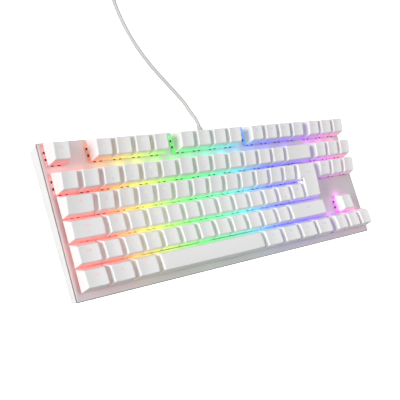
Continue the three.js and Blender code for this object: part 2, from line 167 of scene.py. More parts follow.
class Shader:
    """The node tree of one material, with one Principled surface."""

    def __init__(self, name: str) -> None:
        """Starts an empty material.

        Args:
            name: the material's name.
        """
        self.material = bpy.data.materials.new(name)
        self.material.use_nodes = True
        self.tree = self.material.node_tree
        self.tree.nodes.clear()
        self.surface = self.node("ShaderNodeBsdfPrincipled")
        self.node("ShaderNodeOutputMaterial", {}, {"Surface": self.surface.outputs[0]})

    def node(self, kind: str, settings: dict | None = None,
             inputs: dict | None = None) -> bpy.types.Node:
        """Adds any node.

        Args:
            kind: the node's type.
            settings: its properties, which are set first; "stops" sets a ramp's stops.
            inputs: values, Signals or sockets for its inputs, by name or by number.

        Returns:
            The new node.
        """
        made = self.tree.nodes.new(kind)
        for name, value in (settings or {}).items():
            if name == "stops":
                self._set_stops(made.color_ramp, value)
            else:
                setattr(made, name, value)
        for name, value in (inputs or {}).items():
            if isinstance(value, Signal):
                value = value.socket
            if isinstance(value, bpy.types.NodeSocket):
                self.tree.links.new(value, made.inputs[name])
            else:
                made.inputs[name].default_value = value
        return made

    @staticmethod
    def _set_stops(ramp: bpy.types.ColorRamp, stops: list[tuple[float, Colour]]) -> None:
        """Fills a colour ramp.

        Args:
            ramp: the ramp, with its two first stops.
            stops: places from 0 to 1 with their colours, in order.
        """
        while len(ramp.elements) < len(stops):
            ramp.elements.new(1.0)
        for element, (place, colour) in zip(ramp.elements, stops):
            element.position = place
            element.color = (*colour, 1.0)

    def dress(self, **sockets: object) -> None:
        """Sets or links sockets of the surface; an underscore stands for a space.

        Args:
            sockets: values or Signals by the socket's name.
        """
        for name, value in sockets.items():
            socket = self.surface.inputs[name.replace("_", " ")]
            if isinstance(value, Signal):
                self.tree.links.new(value.socket, socket)
            elif isinstance(value, tuple):
                socket.default_value = (*value, 1.0)
            else:
                socket.default_value = value

    def place(self) -> Signal:
        """The place on the piece, in metres."""
        return Signal(self, self.node("ShaderNodeTexCoord").outputs["Object"])

    def along(self, axis: str) -> Signal:
        """One coordinate of the place on the piece, in metres."""
        parts = self.node("ShaderNodeSeparateXYZ", {}, {0: self.place()})
        return Signal(self, parts.outputs[axis])

    def noise(self, grain: float, detail: float = 2.0, stretch: Triple = (1.0, 1.0, 1.0)) -> Signal:
        """Soft noise of a real size.

        Args:
            grain: the size of one lump in metres.
            detail: how many finer layers it has.
            stretch: how many times finer it is along each axis.

        Returns:
            A value around 0.5.
        """
        scaled = self.node("ShaderNodeMapping", {}, {"Vector": self.place(), "Scale": stretch})
        inputs = {"Vector": scaled.outputs[0], "Scale": 1.0 / grain, "Detail": detail}
        return Signal(self, self.node("ShaderNodeTexNoise", {}, inputs).outputs[0])

    def mix(self, factor: Signal, first: "Colour | Signal", second: "Colour | Signal") -> Signal:
        """A colour between two colours.

        Args:
            factor: 0 for the first, 1 for the second.
            first: a colour or a Signal.
            second: a colour or a Signal.

        Returns:
            The mixed colour.
        """
        inputs = {0: factor}
        for slot, colour in ((6, first), (7, second)):
            inputs[slot] = colour if isinstance(colour, Signal) else (*colour, 1.0)
        made = self.node("ShaderNodeMix", {"data_type": "RGBA"}, inputs)
        return Signal(self, made.outputs[2])

    def relief(self, height: Signal, depth: float) -> None:
        """Bumps the surface.

        Args:
            height: a value from 0 to 1.
            depth: how deep the relief is, in metres.
        """
        inputs = {"Height": height, "Distance": depth, "Strength": 1.0}
        bump = self.node("ShaderNodeBump", {}, inputs)
        self.dress(Normal=Signal(self, bump.outputs[0]))

    def glow(self, colour: Signal, strength: float) -> None:
        """Lets the surface shine.

        Args:
            colour: the colour of its light.
            strength: the strength of its light.
        """
        self.dress(Emission_Color=colour, Emission_Strength=strength)


# ---- Lamp colours ----------------------------------------------------------------------


@dataclass(frozen=True)
class LampHues:
    """The colours of the lamps from the left end of the keyboard to the right end."""

    stops: tuple[tuple[float, Colour], ...] = (
        (-165 * MM, (1.0, 0.13, 0.10)),
        (-138 * MM, (1.0, 0.11, 0.07)),
        (-124 * MM, (1.0, 0.42, 0.06)),
        (-108 * MM, (1.0, 0.80, 0.06)),
        (-90 * MM, (0.85, 1.0, 0.06)),
        (-66 * MM, (0.30, 1.0, 0.09)),
        (-48 * MM, (0.07, 0.95, 0.16)),
        (-18 * MM, (0.05, 0.95, 0.42)),
        (10 * MM, (0.06, 0.85, 0.85)),
        (30 * MM, (0.12, 0.48, 1.0)),
        (50 * MM, (0.09, 0.15, 0.95)),
        (85 * MM, (0.22, 0.11, 0.95)),
        (112 * MM, (0.42, 0.13, 1.0)),
        (135 * MM, (0.85, 0.16, 0.90)),
        (165 * MM, (1.0, 0.28, 0.55)),
    )

    def at(self, x: float) -> Vector:
        """The colour at a place along X, to the nearest millimetre.

        Args:
            x: the place in metres.

        Returns:
            The colour as a vector.
        """
        return self._between(round(x / MM))

    @functools.lru_cache(maxsize=1024)
    def _between(self, millimetres: int) -> Vector:
        """The colour between the two nearest stops.

        Args:
            millimetres: the place along X.

        Returns:
            The colour as a vector.
        """
        x = millimetres * MM
        places = [place for place, _ in self.stops]
        if x <= places[0]:
            return Vector(self.stops[0][1])
        for (low, first), (high, second) in zip(self.stops, self.stops[1:]):
            if x <= high:
                return Vector(first).lerp(Vector(second), (x - low) / (high - low))
        return Vector(self.stops[-1][1])

    def over(self, shader: Shader) -> Signal:
        """The colour over a piece, from its Object coordinates.

        Args:
            shader: the shader that uses it.

        Returns:
            The colour.
        """
        low, high = self.stops[0][0], self.stops[-1][0]
        share = (shader.along("X") - low) * (1.0 / (high - low))
        stops = [((place - low) / (high - low), colour) for place, colour in self.stops]
        ramp = shader.node("ShaderNodeValToRGB", {"stops": stops}, {0: share})
        return Signal(shader, ramp.outputs[0])


HUES = LampHues()


# ---- Finishes --------------------------------------------------------------------------


class Finish:
    """A finish with a name, which becomes one material."""

    name: str

    def material(self) -> Material:
        """The finish as a material."""
        shader = Shader(self.name)
        self.paint(shader)
        return shader.material

    def paint(self, shader: Shader) -> None:
        """Sets the surface of the material; each finish does it in its own way."""
        raise NotImplementedError


@dataclass(frozen=True)
class MouldedPlastic(Finish):
    """Moulded plastic with a spark-eroded grain and slight unevenness of tone."""

    name: str
    colour: Colour
    roughness: float = 0.5
    grain: float = 0.35 * MM
    grain_depth: float = 0.012 * MM
    unevenness: float = 0.06

    def paint(self, shader: Shader) -> None:
        """Sets the surface."""
        grain = shader.noise(self.grain, 3.0)
        tone = shader.noise(24 * MM, 2.0)
        darker = tuple(c * (1 - self.unevenness) for c in self.colour)
        shader.dress(Base_Color=shader.mix(tone, darker, self.colour))
        shader.dress(Roughness=self.roughness + (grain - 0.5) * 0.2 + (tone - 0.5) * 0.1)
        shader.dress(Specular_IOR_Level=0.4)
        shader.relief(grain, self.grain_depth)


@dataclass(frozen=True)
class CapPlastic(Finish):
    """Dense white cap plastic: a satin grain, polished where fingers land; the lamps' light on the
    skirt is painted on, as glow and as the lamp's hue mixed into the colour.
    """

    name: str = "cap_plastic"
    colour: Colour = (0.80, 0.79, 0.785)
    roughness: float = 0.5
    grain: float = 0.22 * MM
    grain_depth: float = 0.006 * MM
    attribute: str = "painted_skirt_light"
    strength: float = 0.3
    painted_light_tint: float = 0.42

    def paint(self, shader: Shader) -> None:
        """Sets the surface."""
        glow = shader.node("ShaderNodeAttribute", {"attribute_name": self.attribute})
        # Painted light: the lamps' light that falls on the skirt, read from the attribute and given
        # off as glow.
        shader.glow(Signal(shader, glow.outputs["Color"]), self.strength)
        grain = shader.noise(self.grain, 2.0)
        wear = shader.noise(9 * MM, 3.0)
        batch = shader.noise(60 * MM, 1.0)
        cooler = (self.colour[0] * 0.965, self.colour[1] * 0.975, self.colour[2] * 0.985)
        # Painted light: where the lamps' light falls, the lamp's hue is mixed into the cap's
        # colour.
        painted_light_tint = Signal(shader, glow.outputs["Alpha"]) * self.painted_light_tint
        plain = shader.mix(batch, cooler, self.colour)
        shader.dress(Base_Color=shader.mix(painted_light_tint, plain, HUES.over(shader)))
        polish = (wear - 0.55).clamped() * 0.5
        shader.dress(Roughness=self.roughness + (grain - 0.5) * 0.16 - polish)
        shader.dress(Specular_IOR_Level=0.35, Coat_Weight=polish * 0.6)
        shader.relief(grain, self.grain_depth)


@dataclass(frozen=True)
class LegendPlastic(Finish):
    """Translucent second shot of a legend; the lamp's light shining through it is painted on, as
    the lamp's hue in its colour and as glow.
    """

    name: str = "legend_translucent"
    colour: Colour = (0.80, 0.76, 0.76)
    strength: float = 0.13

    def paint(self, shader: Shader) -> None:
        """Sets the surface."""
        cloud = shader.noise(1.4 * MM, 2.0)
        hue = HUES.over(shader)
        # Painted light: the lamp's hue mixed into the colour and given off as glow, for its light
        # shining through the legend.
        shader.dress(Base_Color=shader.mix(cloud * 0.25 + 0.25, self.colour, hue))
        shader.dress(Roughness=0.35 + cloud * 0.1)
        shader.glow(hue, self.strength)


@dataclass(frozen=True)
class PrintedInk(Finish):
    """Grey pad-printed ink of the second marks."""

    name: str = "printed_ink"
    colour: Colour = (0.52, 0.53, 0.54)

    def paint(self, shader: Shader) -> None:
        """Sets the surface."""
        speckle = shader.noise(0.12 * MM, 2.0)
        thin = tuple(min(1.0, c * 1.25) for c in self.colour)
        shader.dress(Base_Color=shader.mix(speckle, self.colour, thin))
        shader.dress(Roughness=0.55 + speckle * 0.1)


@dataclass(frozen=True)
class LitPaint(Finish):
    """Satin powder paint on the plate, with the light that the lamps throw on it."""

    name: str = "plate_paint"
    colour: Colour = (0.60, 0.57, 0.585)
    attribute: str = "lamp_light"
    strength: float = 1.0

    def paint(self, shader: Shader) -> None:
        """Sets the surface."""
        peel = shader.noise(0.55 * MM, 2.0)
        sparkle = shader.noise(0.12 * MM, 1.0)
        tone = shader.noise(30 * MM, 2.0)
        lighter = tuple(c * 1.08 for c in self.colour)
        light = shader.node("ShaderNodeAttribute", {"attribute_name": self.attribute})
        shader.dress(Base_Color=shader.mix(tone, self.colour, lighter))
        shader.dress(Roughness=0.42 + (peel - 0.5) * 0.2 + sparkle * 0.06, Metallic=0.15)
        shader.glow(Signal(shader, light.outputs["Color"]), self.strength)
        shader.relief(peel * 0.8 + sparkle * 0.2, 0.012 * MM)


@dataclass(frozen=True)
class FrostedHousing(Finish):
    """Milky switch housing, with the lamp's light shining through it painted on as the lamp's hue
    in its colour and as glow.
    """

    name: str = "switch_housing_frosted"
    colour: Colour = (0.72, 0.72, 0.74)
    strength: float = 0.5

    def paint(self, shader: Shader) -> None:
        """Sets the surface."""
        cloud = shader.noise(2.5 * MM, 2.0)
        hue = HUES.over(shader)
        # Painted light: the lamp's hue mixed into the colour and given off as glow, for the lamp's
        # light shining through the housing.
        shader.dress(Base_Color=shader.mix(cloud * 0.4 + 0.2, self.colour, hue))
        shader.dress(Roughness=0.25 + cloud * 0.12)
        shader.glow(hue, self.strength)


@dataclass(frozen=True)
class Lens(Finish):
    """The clear lens of a lamp, bright in its own colour."""

    name: str = "lamp_lens"
    strength: float = 3.0

    def paint(self, shader: Shader) -> None:
        """Sets the surface."""
        hue = HUES.over(shader)
        ripple = shader.noise(0.4 * MM, 1.0)
        shader.dress(Base_Color=hue, Roughness=0.12 + ripple * 0.08)
        shader.glow(hue, self.strength)


@dataclass(frozen=True)
class SoftRubber(Finish):
    """Matt rubber with fine cross ribs and rubbed, paler patches."""

    name: str
    colour: Colour
    rib: float = 1.1 * MM
    rib_depth: float = 0.10 * MM

    def paint(self, shader: Shader) -> None:
        """Sets the surface."""
        dust = shader.noise(3 * MM, 4.0)
        wave = shader.along("X").maths("SINE", shader.along("X") * (2 * math.pi / self.rib))
        paler = tuple(min(1.0, c * 1.35) for c in self.colour)
        shader.dress(Base_Color=shader.mix(dust, self.colour, paler), Roughness=0.82 + dust * 0.15)
        shader.relief(wave * 0.5 + 0.4 + dust * 0.1, self.rib_depth)


@dataclass(frozen=True)
class CableJacket(Finish):
    """Smooth extruded jacket with faint drawing marks and a dusty tone."""

    name: str = "cable_jacket"
    colour: Colour = (0.52, 0.51, 0.50)

    def paint(self, shader: Shader) -> None:
        """Sets the surface."""
        mark = shader.noise(0.5 * MM, 2.0)
        dust = shader.noise(14 * MM, 3.0)
        greyer = tuple(c * 0.9 for c in self.colour)
        shader.dress(Base_Color=shader.mix(dust, greyer, self.colour))
        shader.dress(Roughness=0.5 + (mark - 0.5) * 0.2 + (dust - 0.5) * 0.15)
        shader.relief(mark, 0.01 * MM)


@dataclass(frozen=True)
class PlatedMetal(Finish):
    """Stamped sheet metal with rolling marks and a bright plating."""

    name: str
    colour: Colour
    roughness: float = 0.28

    def paint(self, shader: Shader) -> None:
        """Sets the surface."""
        rolled = shader.noise(0.25 * MM, 2.0, (0.06, 1.0, 1.0))
        stain = shader.noise(5 * MM, 3.0)
        duller = tuple(c * 0.86 for c in self.colour)
        shader.dress(Base_Color=shader.mix(stain, duller, self.colour), Metallic=1.0)
        shader.dress(Roughness=self.roughness + (rolled - 0.5) * 0.22 + (stain - 0.5) * 0.1)
        shader.relief(rolled, 0.006 * MM)


@dataclass(frozen=True)
class Laminate(Finish):
    """Circuit board laminate under solder mask, with the weave showing through."""

    name: str = "board_laminate"
    colour: Colour = (0.62, 0.66, 0.62)
    weave: float = 0.6 * MM

    def paint(self, shader: Shader) -> None:
        """Sets the surface."""
        warp = shader.along("X").maths("SINE", shader.along("X") * (2 * math.pi / self.weave))
        weft = shader.along("Y").maths("SINE", shader.along("Y") * (2 * math.pi / self.weave))
        woven = warp * weft * 0.5 + 0.5
        darker = tuple(c * 0.88 for c in self.colour)
        shader.dress(Base_Color=shader.mix(woven, darker, self.colour))
        shader.dress(Roughness=0.35 + woven * 0.1)
        shader.relief(woven, 0.01 * MM)


@dataclass(frozen=True)
class WovenTape(Finish):
    """Hook-and-loop tape: a fuzzy pile over a fine weave."""

    name: str = "tie_tape"
    colour: Colour = (0.05, 0.05, 0.055)

    def paint(self, shader: Shader) -> None:
        """Sets the surface."""
        pile = shader.noise(0.25 * MM, 4.0)
        lint = shader.noise(1.8 * MM, 3.0)
        paler = tuple(c * 2.6 for c in self.colour)
        shader.dress(Base_Color=shader.mix(pile * 0.6 + lint * 0.3, self.colour, paler))
        shader.dress(Roughness=0.88 + pile * 0.1, Sheen_Weight=0.5)
        shader.relief(pile, 0.12 * MM)


class Finishes:
    """All the keyboard's finishes, each made once."""

    def __init__(self) -> None:
        """Makes every material."""
        self.cap = CapPlastic().material()
        self.legend = LegendPlastic().material()
        self.ink = PrintedInk().material()
        self.stem = MouldedPlastic("stem_plastic", (0.62, 0.60, 0.58), 0.35).material()
        self.paint = LitPaint().material()
        # Near-black painted shade for the plate's chamfered rim, standing in for the shadow gap at
        # its edge.
        self.edge_shade = MouldedPlastic("plate_edge_shade", (0.05, 0.035, 0.035), 0.6).material()
        self.housing = FrostedHousing().material()
        # Near-black painted shade: the switches' latch windows and tongues, the screws' cross
        # recesses and the plug shell's windows.
        self.window = MouldedPlastic("latch_shadow", (0.05, 0.035, 0.035), 0.6).material()
        self.lens = Lens().material()
        self.case = MouldedPlastic("case_plastic", (0.83, 0.83, 0.83), 0.45, grain=0.5 * MM,
                                   grain_depth=0.02 * MM).material()
        self.foot = MouldedPlastic("foot_plastic", (0.80, 0.80, 0.80), 0.5).material()
        self.rubber = SoftRubber("pad_rubber", (0.30, 0.30, 0.31)).material()
        self.jacket = CableJacket().material()
        self.steel = PlatedMetal("plug_steel", (0.72, 0.73, 0.75)).material()
        self.gold = PlatedMetal("contact_gold", (0.85, 0.62, 0.28), 0.22).material()
        self.screw = PlatedMetal("screw_steel", (0.42, 0.42, 0.43), 0.35).material()
        self.board = Laminate().material()
        self.chip = MouldedPlastic("chip_epoxy", (0.03, 0.03, 0.032), 0.55).material()
        self.tongue = MouldedPlastic("tongue_plastic", (0.75, 0.76, 0.76), 0.4).material()
        self.tape = WovenTape().material()


# ---- Deck and mesh tools ---------------------------------------------------------------


@dataclass(frozen=True)
class Deck:
    """The tilted deck, whose own frame has Z = 0 at the plate's top."""

    plate_thickness: float = 1.5 * MM
    pitch: float = 19.05 * MM
    margin_left: float = 2.4 * MM
    margin_front: float = 5.4 * MM

    @functools.cached_property
    def tilt(self) -> float:
        """The deck's slope in radians, from the keys' direction of travel."""
        axis = frame["record"]["behaviour"]["joints"][0]["axis"]
        return math.atan2(-axis[1], axis[2])

    @functools.cached_property
    def width(self) -> float:
        """The plate's width."""
        low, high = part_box("switch_plate")
        return high.x - low.x

    @functools.cached_property
    def depth(self) -> float:
        """The plate's depth along its slope."""
        low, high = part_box("switch_plate")
        return (high.y - low.y - self.plate_thickness * math.sin(self.tilt)) / math.cos(self.tilt)

    @functools.cached_property
    def matrix(self) -> Matrix:
        """From the deck's frame to the desk's."""
        low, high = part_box("switch_plate")
        height = (low.z + high.z) / 2 + self.plate_thickness / 2 * math.cos(self.tilt)
        return Matrix.Translation((0, 0, height)) @ Matrix.Rotation(self.tilt, 4, "X")

    def x(self, u: float) -> float:
        """Deck X of a place in the key field, in key pitches."""
        return -self.width / 2 + self.margin_left + u * self.pitch

    def y(self, v: float) -> float:
        """Deck Y of a place in the key field, in key pitches."""
        return -self.depth / 2 + self.margin_front + v * self.pitch


class Workshop:
    """Mesh tools that the sub-assemblies share."""

    def __init__(self, deck: Deck) -> None:
        """Keeps the deck.

        Args:
            deck: the tilted deck.
        """
        self.deck = deck
        self.tilted = deck.matrix

    def block(self, mesh: Mesh, low: Iterable[float], high: Iterable[float],
              material: int = 0, edge: float = 0.0) -> list[bmesh.types.BMVert]:
        """Adds a box between two corners.

        Args:
            mesh: the mesh to add to.
            low: the lowest corner.
            high: the highest corner.
            material: the number of its material slot.
            edge: the width of the bevel on its edges.

        Returns:
            The box's corners before the bevel.
        """
        low, high = Vector(low), Vector(high)
        made = bmesh.ops.create_cube(mesh, size=1.0)["verts"]
        size = Matrix.Diagonal((*(high - low), 1.0))
        bmesh.ops.transform(mesh, matrix=Matrix.Translation((low + high) / 2) @ size, verts=made)
        faces = {f for v in made for f in v.link_faces}
        for face in faces:
            face.material_index = material
        if edge:
            edges = list({e for v in made for e in v.link_edges})
            self.bevel(mesh, edges, edge, 2)
        return made

    def bevel(self, mesh: Mesh, edges: list[bmesh.types.BMEdge], width: float,
              steps: int) -> None:
        """Rounds edges.

        Args:
            mesh: the mesh.
            edges: the edges to round.
            width: the width of the bevel.
            steps: how many faces it has across.
        """
        bmesh.ops.bevel(mesh, geom=edges, offset=width, offset_type="OFFSET", segments=steps,
                        profile=0.5, affect="EDGES", material=-1, clamp_overlap=True)

    def well(self, mesh: Mesh, rim: list[bmesh.types.BMVert], wall: float, depth: float) -> None:
        """Sinks a pocket into a flat top face.

        Args:
            mesh: the mesh.
            rim: the corners of the face.
            wall: the width that is left round the pocket.
            depth: how deep the pocket is.
        """
        top = [f for f in rim[0].link_faces if all(v in rim for v in f.verts)]
        bmesh.ops.inset_individual(mesh, faces=top, thickness=wall, use_even_offset=True)
        floor = bmesh.ops.extrude_discrete_faces(mesh, faces=top)["faces"]
        bmesh.ops.translate(mesh, vec=(0, 0, -depth), verts=floor[0].verts)

    def turned(self, profile: list[tuple[float, float]], centre: Vector,
               steps: int = 48) -> Mesh:
        """A solid turned about a line along +Y.

        Args:
            profile: points of radius and Y, from axis to axis.
            centre: a point on the line, whose Y is left out.
            steps: how many faces go round.

        Returns:
            The closed mesh.
        """
        mesh = bmesh.new()
        points = [mesh.verts.new((centre.x + radius, y, centre.z)) for radius, y in profile]
        edges = [mesh.edges.new(pair) for pair in zip(points, points[1:])]
        bmesh.ops.spin(mesh, geom=points + edges, cent=(centre.x, 0, centre.z), axis=(0, 1, 0),
                       angle=2 * math.pi, steps=steps, use_merge=True)
        bmesh.ops.remove_doubles(mesh, verts=mesh.verts, dist=0.001 * MM)
        bmesh.ops.recalc_face_normals(mesh, faces=mesh.faces)
        return mesh

    def copy_of(self, node: str) -> Mesh:
        """A merged copy of a CAD node's mesh, with its flat faces whole again.

        Args:
            node: the CAD node's name.

        Returns:
            The mesh.
        """
        mesh = bmesh.new()
        mesh.from_mesh(frame["nodes"][node].data)
        bmesh.ops.remove_doubles(mesh, verts=mesh.verts, dist=0.002 * MM)
        bmesh.ops.dissolve_limit(mesh, angle_limit=math.radians(0.5), verts=mesh.verts,
                                 edges=mesh.edges)
        return mesh

    def piece(self, mesh: Mesh, name: str, body: str, slot: str,
              materials: list[Material], place: Matrix | None = None,
              rounding: float = 0.0, sharp: float = 40.0) -> Piece:
        """Finishes a mesh as a named piece that rides on a body.

        Args:
            mesh: the mesh, which is used up.
            name: the piece's name.
            body: the body that it rides on.
            slot: the record's material slot; not used.
            materials: its materials, in slot order.
            place: where it goes, if it isn't made in place.
            rounding: the width of a bevel on its sharp edges.
            sharp: the angle in degrees past which an edge stays sharp.

        Returns:
            The piece.
        """
        if place is not None:
            bmesh.ops.transform(mesh, matrix=place, verts=mesh.verts)
        for face in mesh.faces:
            face.smooth = True
        data = as_data(name, mesh)
        for material in materials:
            data.materials.append(material)
        data.set_sharp_from_angle(angle=math.radians(sharp))
        made = linked(name, data)
        if rounding:
            bevel = made.modifiers.new("rounding", "BEVEL")
            bevel.width = rounding
            bevel.segments = 2
            bevel.limit_method = "ANGLE"
            bevel.angle_limit = math.radians(sharp)
        weighted = made.modifiers.new("normals", "WEIGHTED_NORMAL")
        weighted.keep_sharp = True
        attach(made, body)
        log.info("%s on %s: %d faces", name, body, len(data.polygons))
        return made


@dataclass
class Assembly:
    """A sub-assembly, with the tools and the finishes that it is made with."""

    shop: Workshop
    finishes: Finishes


# ---- Keys ------------------------------------------------------------------------------


class Row(Enum):
    """The rows of the key field: place in pitches, cap heights at front and rear in millimetres."""

    FUNCTION = (5.25, 8.9, 11.5)
    NUMBER = (4.0, 8.9, 11.5)
    TAB = (3.0, 6.4, 9.6)
    HOME = (2.0, 6.6, 7.0)
    SHIFT = (1.0, 7.3, 6.7)
    BOTTOM = (0.0, 8.6, 7.6)

    @property
    def v(self) -> float:
        """The row's front edge, in key pitches."""
        return self.value[0]

    @property
    def front(self) -> float:
        """Height of a cap's front edge above its skirt."""
        return self.value[1] * MM

    @property
    def rear(self) -> float:
        """Height of a cap's rear edge above its skirt."""
        return self.value[2] * MM


@dataclass(frozen=True)
class Key:
    """One key of the layout."""

    name: str
    body: str
    row: Row
    u: float
    units: float = 1.0
    legend: str = ""
    second: str = ""
    node: str = ""
    posts: tuple[float, ...] = ()

    @property
    def middle(self) -> tuple[float, float]:
        """The middle of the key, in key pitches."""
        return self.u + self.units / 2, self.row.v + 0.5


WIDE_SPACING = 11.9 * MM
SPACE_SPACING = 50.0 * MM
ENTER_MIDDLE = (14.375, 3.0)
ENTER_SKIRT = (13.5, 2.0, 15.0, 4.0)
ENTER_NOTCH = (13.75, 3.0)


class Layout:
    """The 88-key ISO layout without a number pad."""

    def __init__(self) -> None:
        """Lists every key but Enter."""
        self.keys: list[Key] = []
        self._single("escape", Row.FUNCTION, 0, legend="Esc")
        for i in range(12):
            self._single(f"f{i + 1}", Row.FUNCTION, 2 + i + 0.5 * (i // 4), legend=f"F{i + 1}")
        cluster = 15.25
        for row, names in (
            (Row.FUNCTION, (("print_screen", "Prt"), ("scroll_lock", "Scr"), ("pause", "Pse"))),
            (Row.NUMBER, (("insert", "Ins"), ("home", "Hm"), ("page_up", "PgU"))),
            (Row.TAB, (("delete", "Del"), ("end", "End"), ("page_down", "PgD"))),
            (Row.BOTTOM, (("left", "<"), ("down", "v"), ("right", ">"))),
        ):
            for i, (name, legend) in enumerate(names):
                self._single(name, row, cluster + i, legend=legend)
        self._single("up", Row.SHIFT, cluster + 1, legend="^")
        wide = (-WIDE_SPACING, WIDE_SPACING)
        self._single("backspace", Row.NUMBER, 13, 2.0, "<-", posts=wide)
        self._single("tab", Row.TAB, 0, 1.5, "Tab")
        self._single("caps_lock", Row.HOME, 0, 1.75, "Caps", second="A")
        self._single("left_shift", Row.SHIFT, 0, 1.25, "Shift")
        self._single("right_shift", Row.SHIFT, 12.25, 2.75, "Shift", posts=wide)
        left = (("left_control", "Ctrl"), ("left_super", "o"), ("left_alt", "Alt"))
        for i, (name, legend) in enumerate(left):
            self._single(name, Row.BOTTOM, 1.25 * i, 1.25, legend)
        self._single("space", Row.BOTTOM, 3.75, 6.25, posts=(-SPACE_SPACING, SPACE_SPACING))
        right = (("right_alt", "Alt"), ("function", "Fn"), ("menu", "="), ("right_control", "Ctrl"))
        for i, (name, legend) in enumerate(right):
            self._single(name, Row.BOTTOM, 10 + 1.25 * i, 1.25, legend)
        self._row("number_row", Row.NUMBER, 0, "'1234567890-=", "~!@#$%^&*()_+")
        self._row("upper_letter_row", Row.TAB, 1.5, "QWERTYUIOP[]", "  e       {}")
        self._row("home_letter_row", Row.HOME, 1.75, "ASDFGHJKL;'#", "         :@~")
        self._row("lower_letter_row", Row.SHIFT, 1.25, "\\ZXCVBNM,./", "|       <>?")

    def _single(self, name: str, row: Row, u: float, units: float = 1.0, legend: str = "",
                second: str = "", posts: tuple[float, ...] = ()) -> None:
        """Adds a key that has a body of its own.

        Args:
            name: the key's name.
            row: its row.
            u: its left edge in key pitches.
            units: its width in key pitches.
            legend: its lit mark.
            second: its printed mark.
            posts: where its stabiliser posts stand beside the middle.
        """
        key = Key(name, f"{name}_key", row, u, units, legend, second, f"key_{name}", posts)
        self.keys.append(key)

    def _row(self, body: str, row: Row, u: float, legends: str, seconds: str) -> None:
        """Adds a row of plain keys that travel as one body.

        Args:
            body: the row's body.
            row: its row.
            u: its left edge in key pitches.
            legends: the lit mark of each key.
            seconds: the printed mark of each key.
        """
        for i, (legend, second) in enumerate(zip(legends, seconds)):
            name = f"{body.removesuffix('_row')}_{i + 1}"
            key = Key(name, body, row, u + i, 1.0, legend, second.strip(), f"keys_{body}")
            self.keys.append(key)

    def switch_middles(self) -> list[tuple[str, tuple[float, float]]]:
        """Every switch's name and middle, in key pitches."""
        return [(key.name, key.middle) for key in self.keys] + [("enter", ENTER_MIDDLE)]

    def stabilisers(self) -> list[tuple[str, float, float, float, float, bool]]:
        """Each stabiliser's name, middle in pitches, offsets in X and Y, and quarter turn."""
        beside = [
            (f"{key.name}_{side}", *key.middle, offset, 0.0, False)
            for key in self.keys
            for side, offset in zip(("left", "right"), key.posts)
        ]
        upright = [
            (f"enter_{side}", *ENTER_MIDDLE, 0.0, offset, True)
            for side, offset in (("front", -WIDE_SPACING), ("rear", WIDE_SPACING))
        ]
        return beside + upright


class CapSlot(IntEnum):
    """The material slots of a cap, in order; the shell's faces keep the first."""

    SHELL = 0
    STEM = 1
    LEGEND = 2
    INK = 3


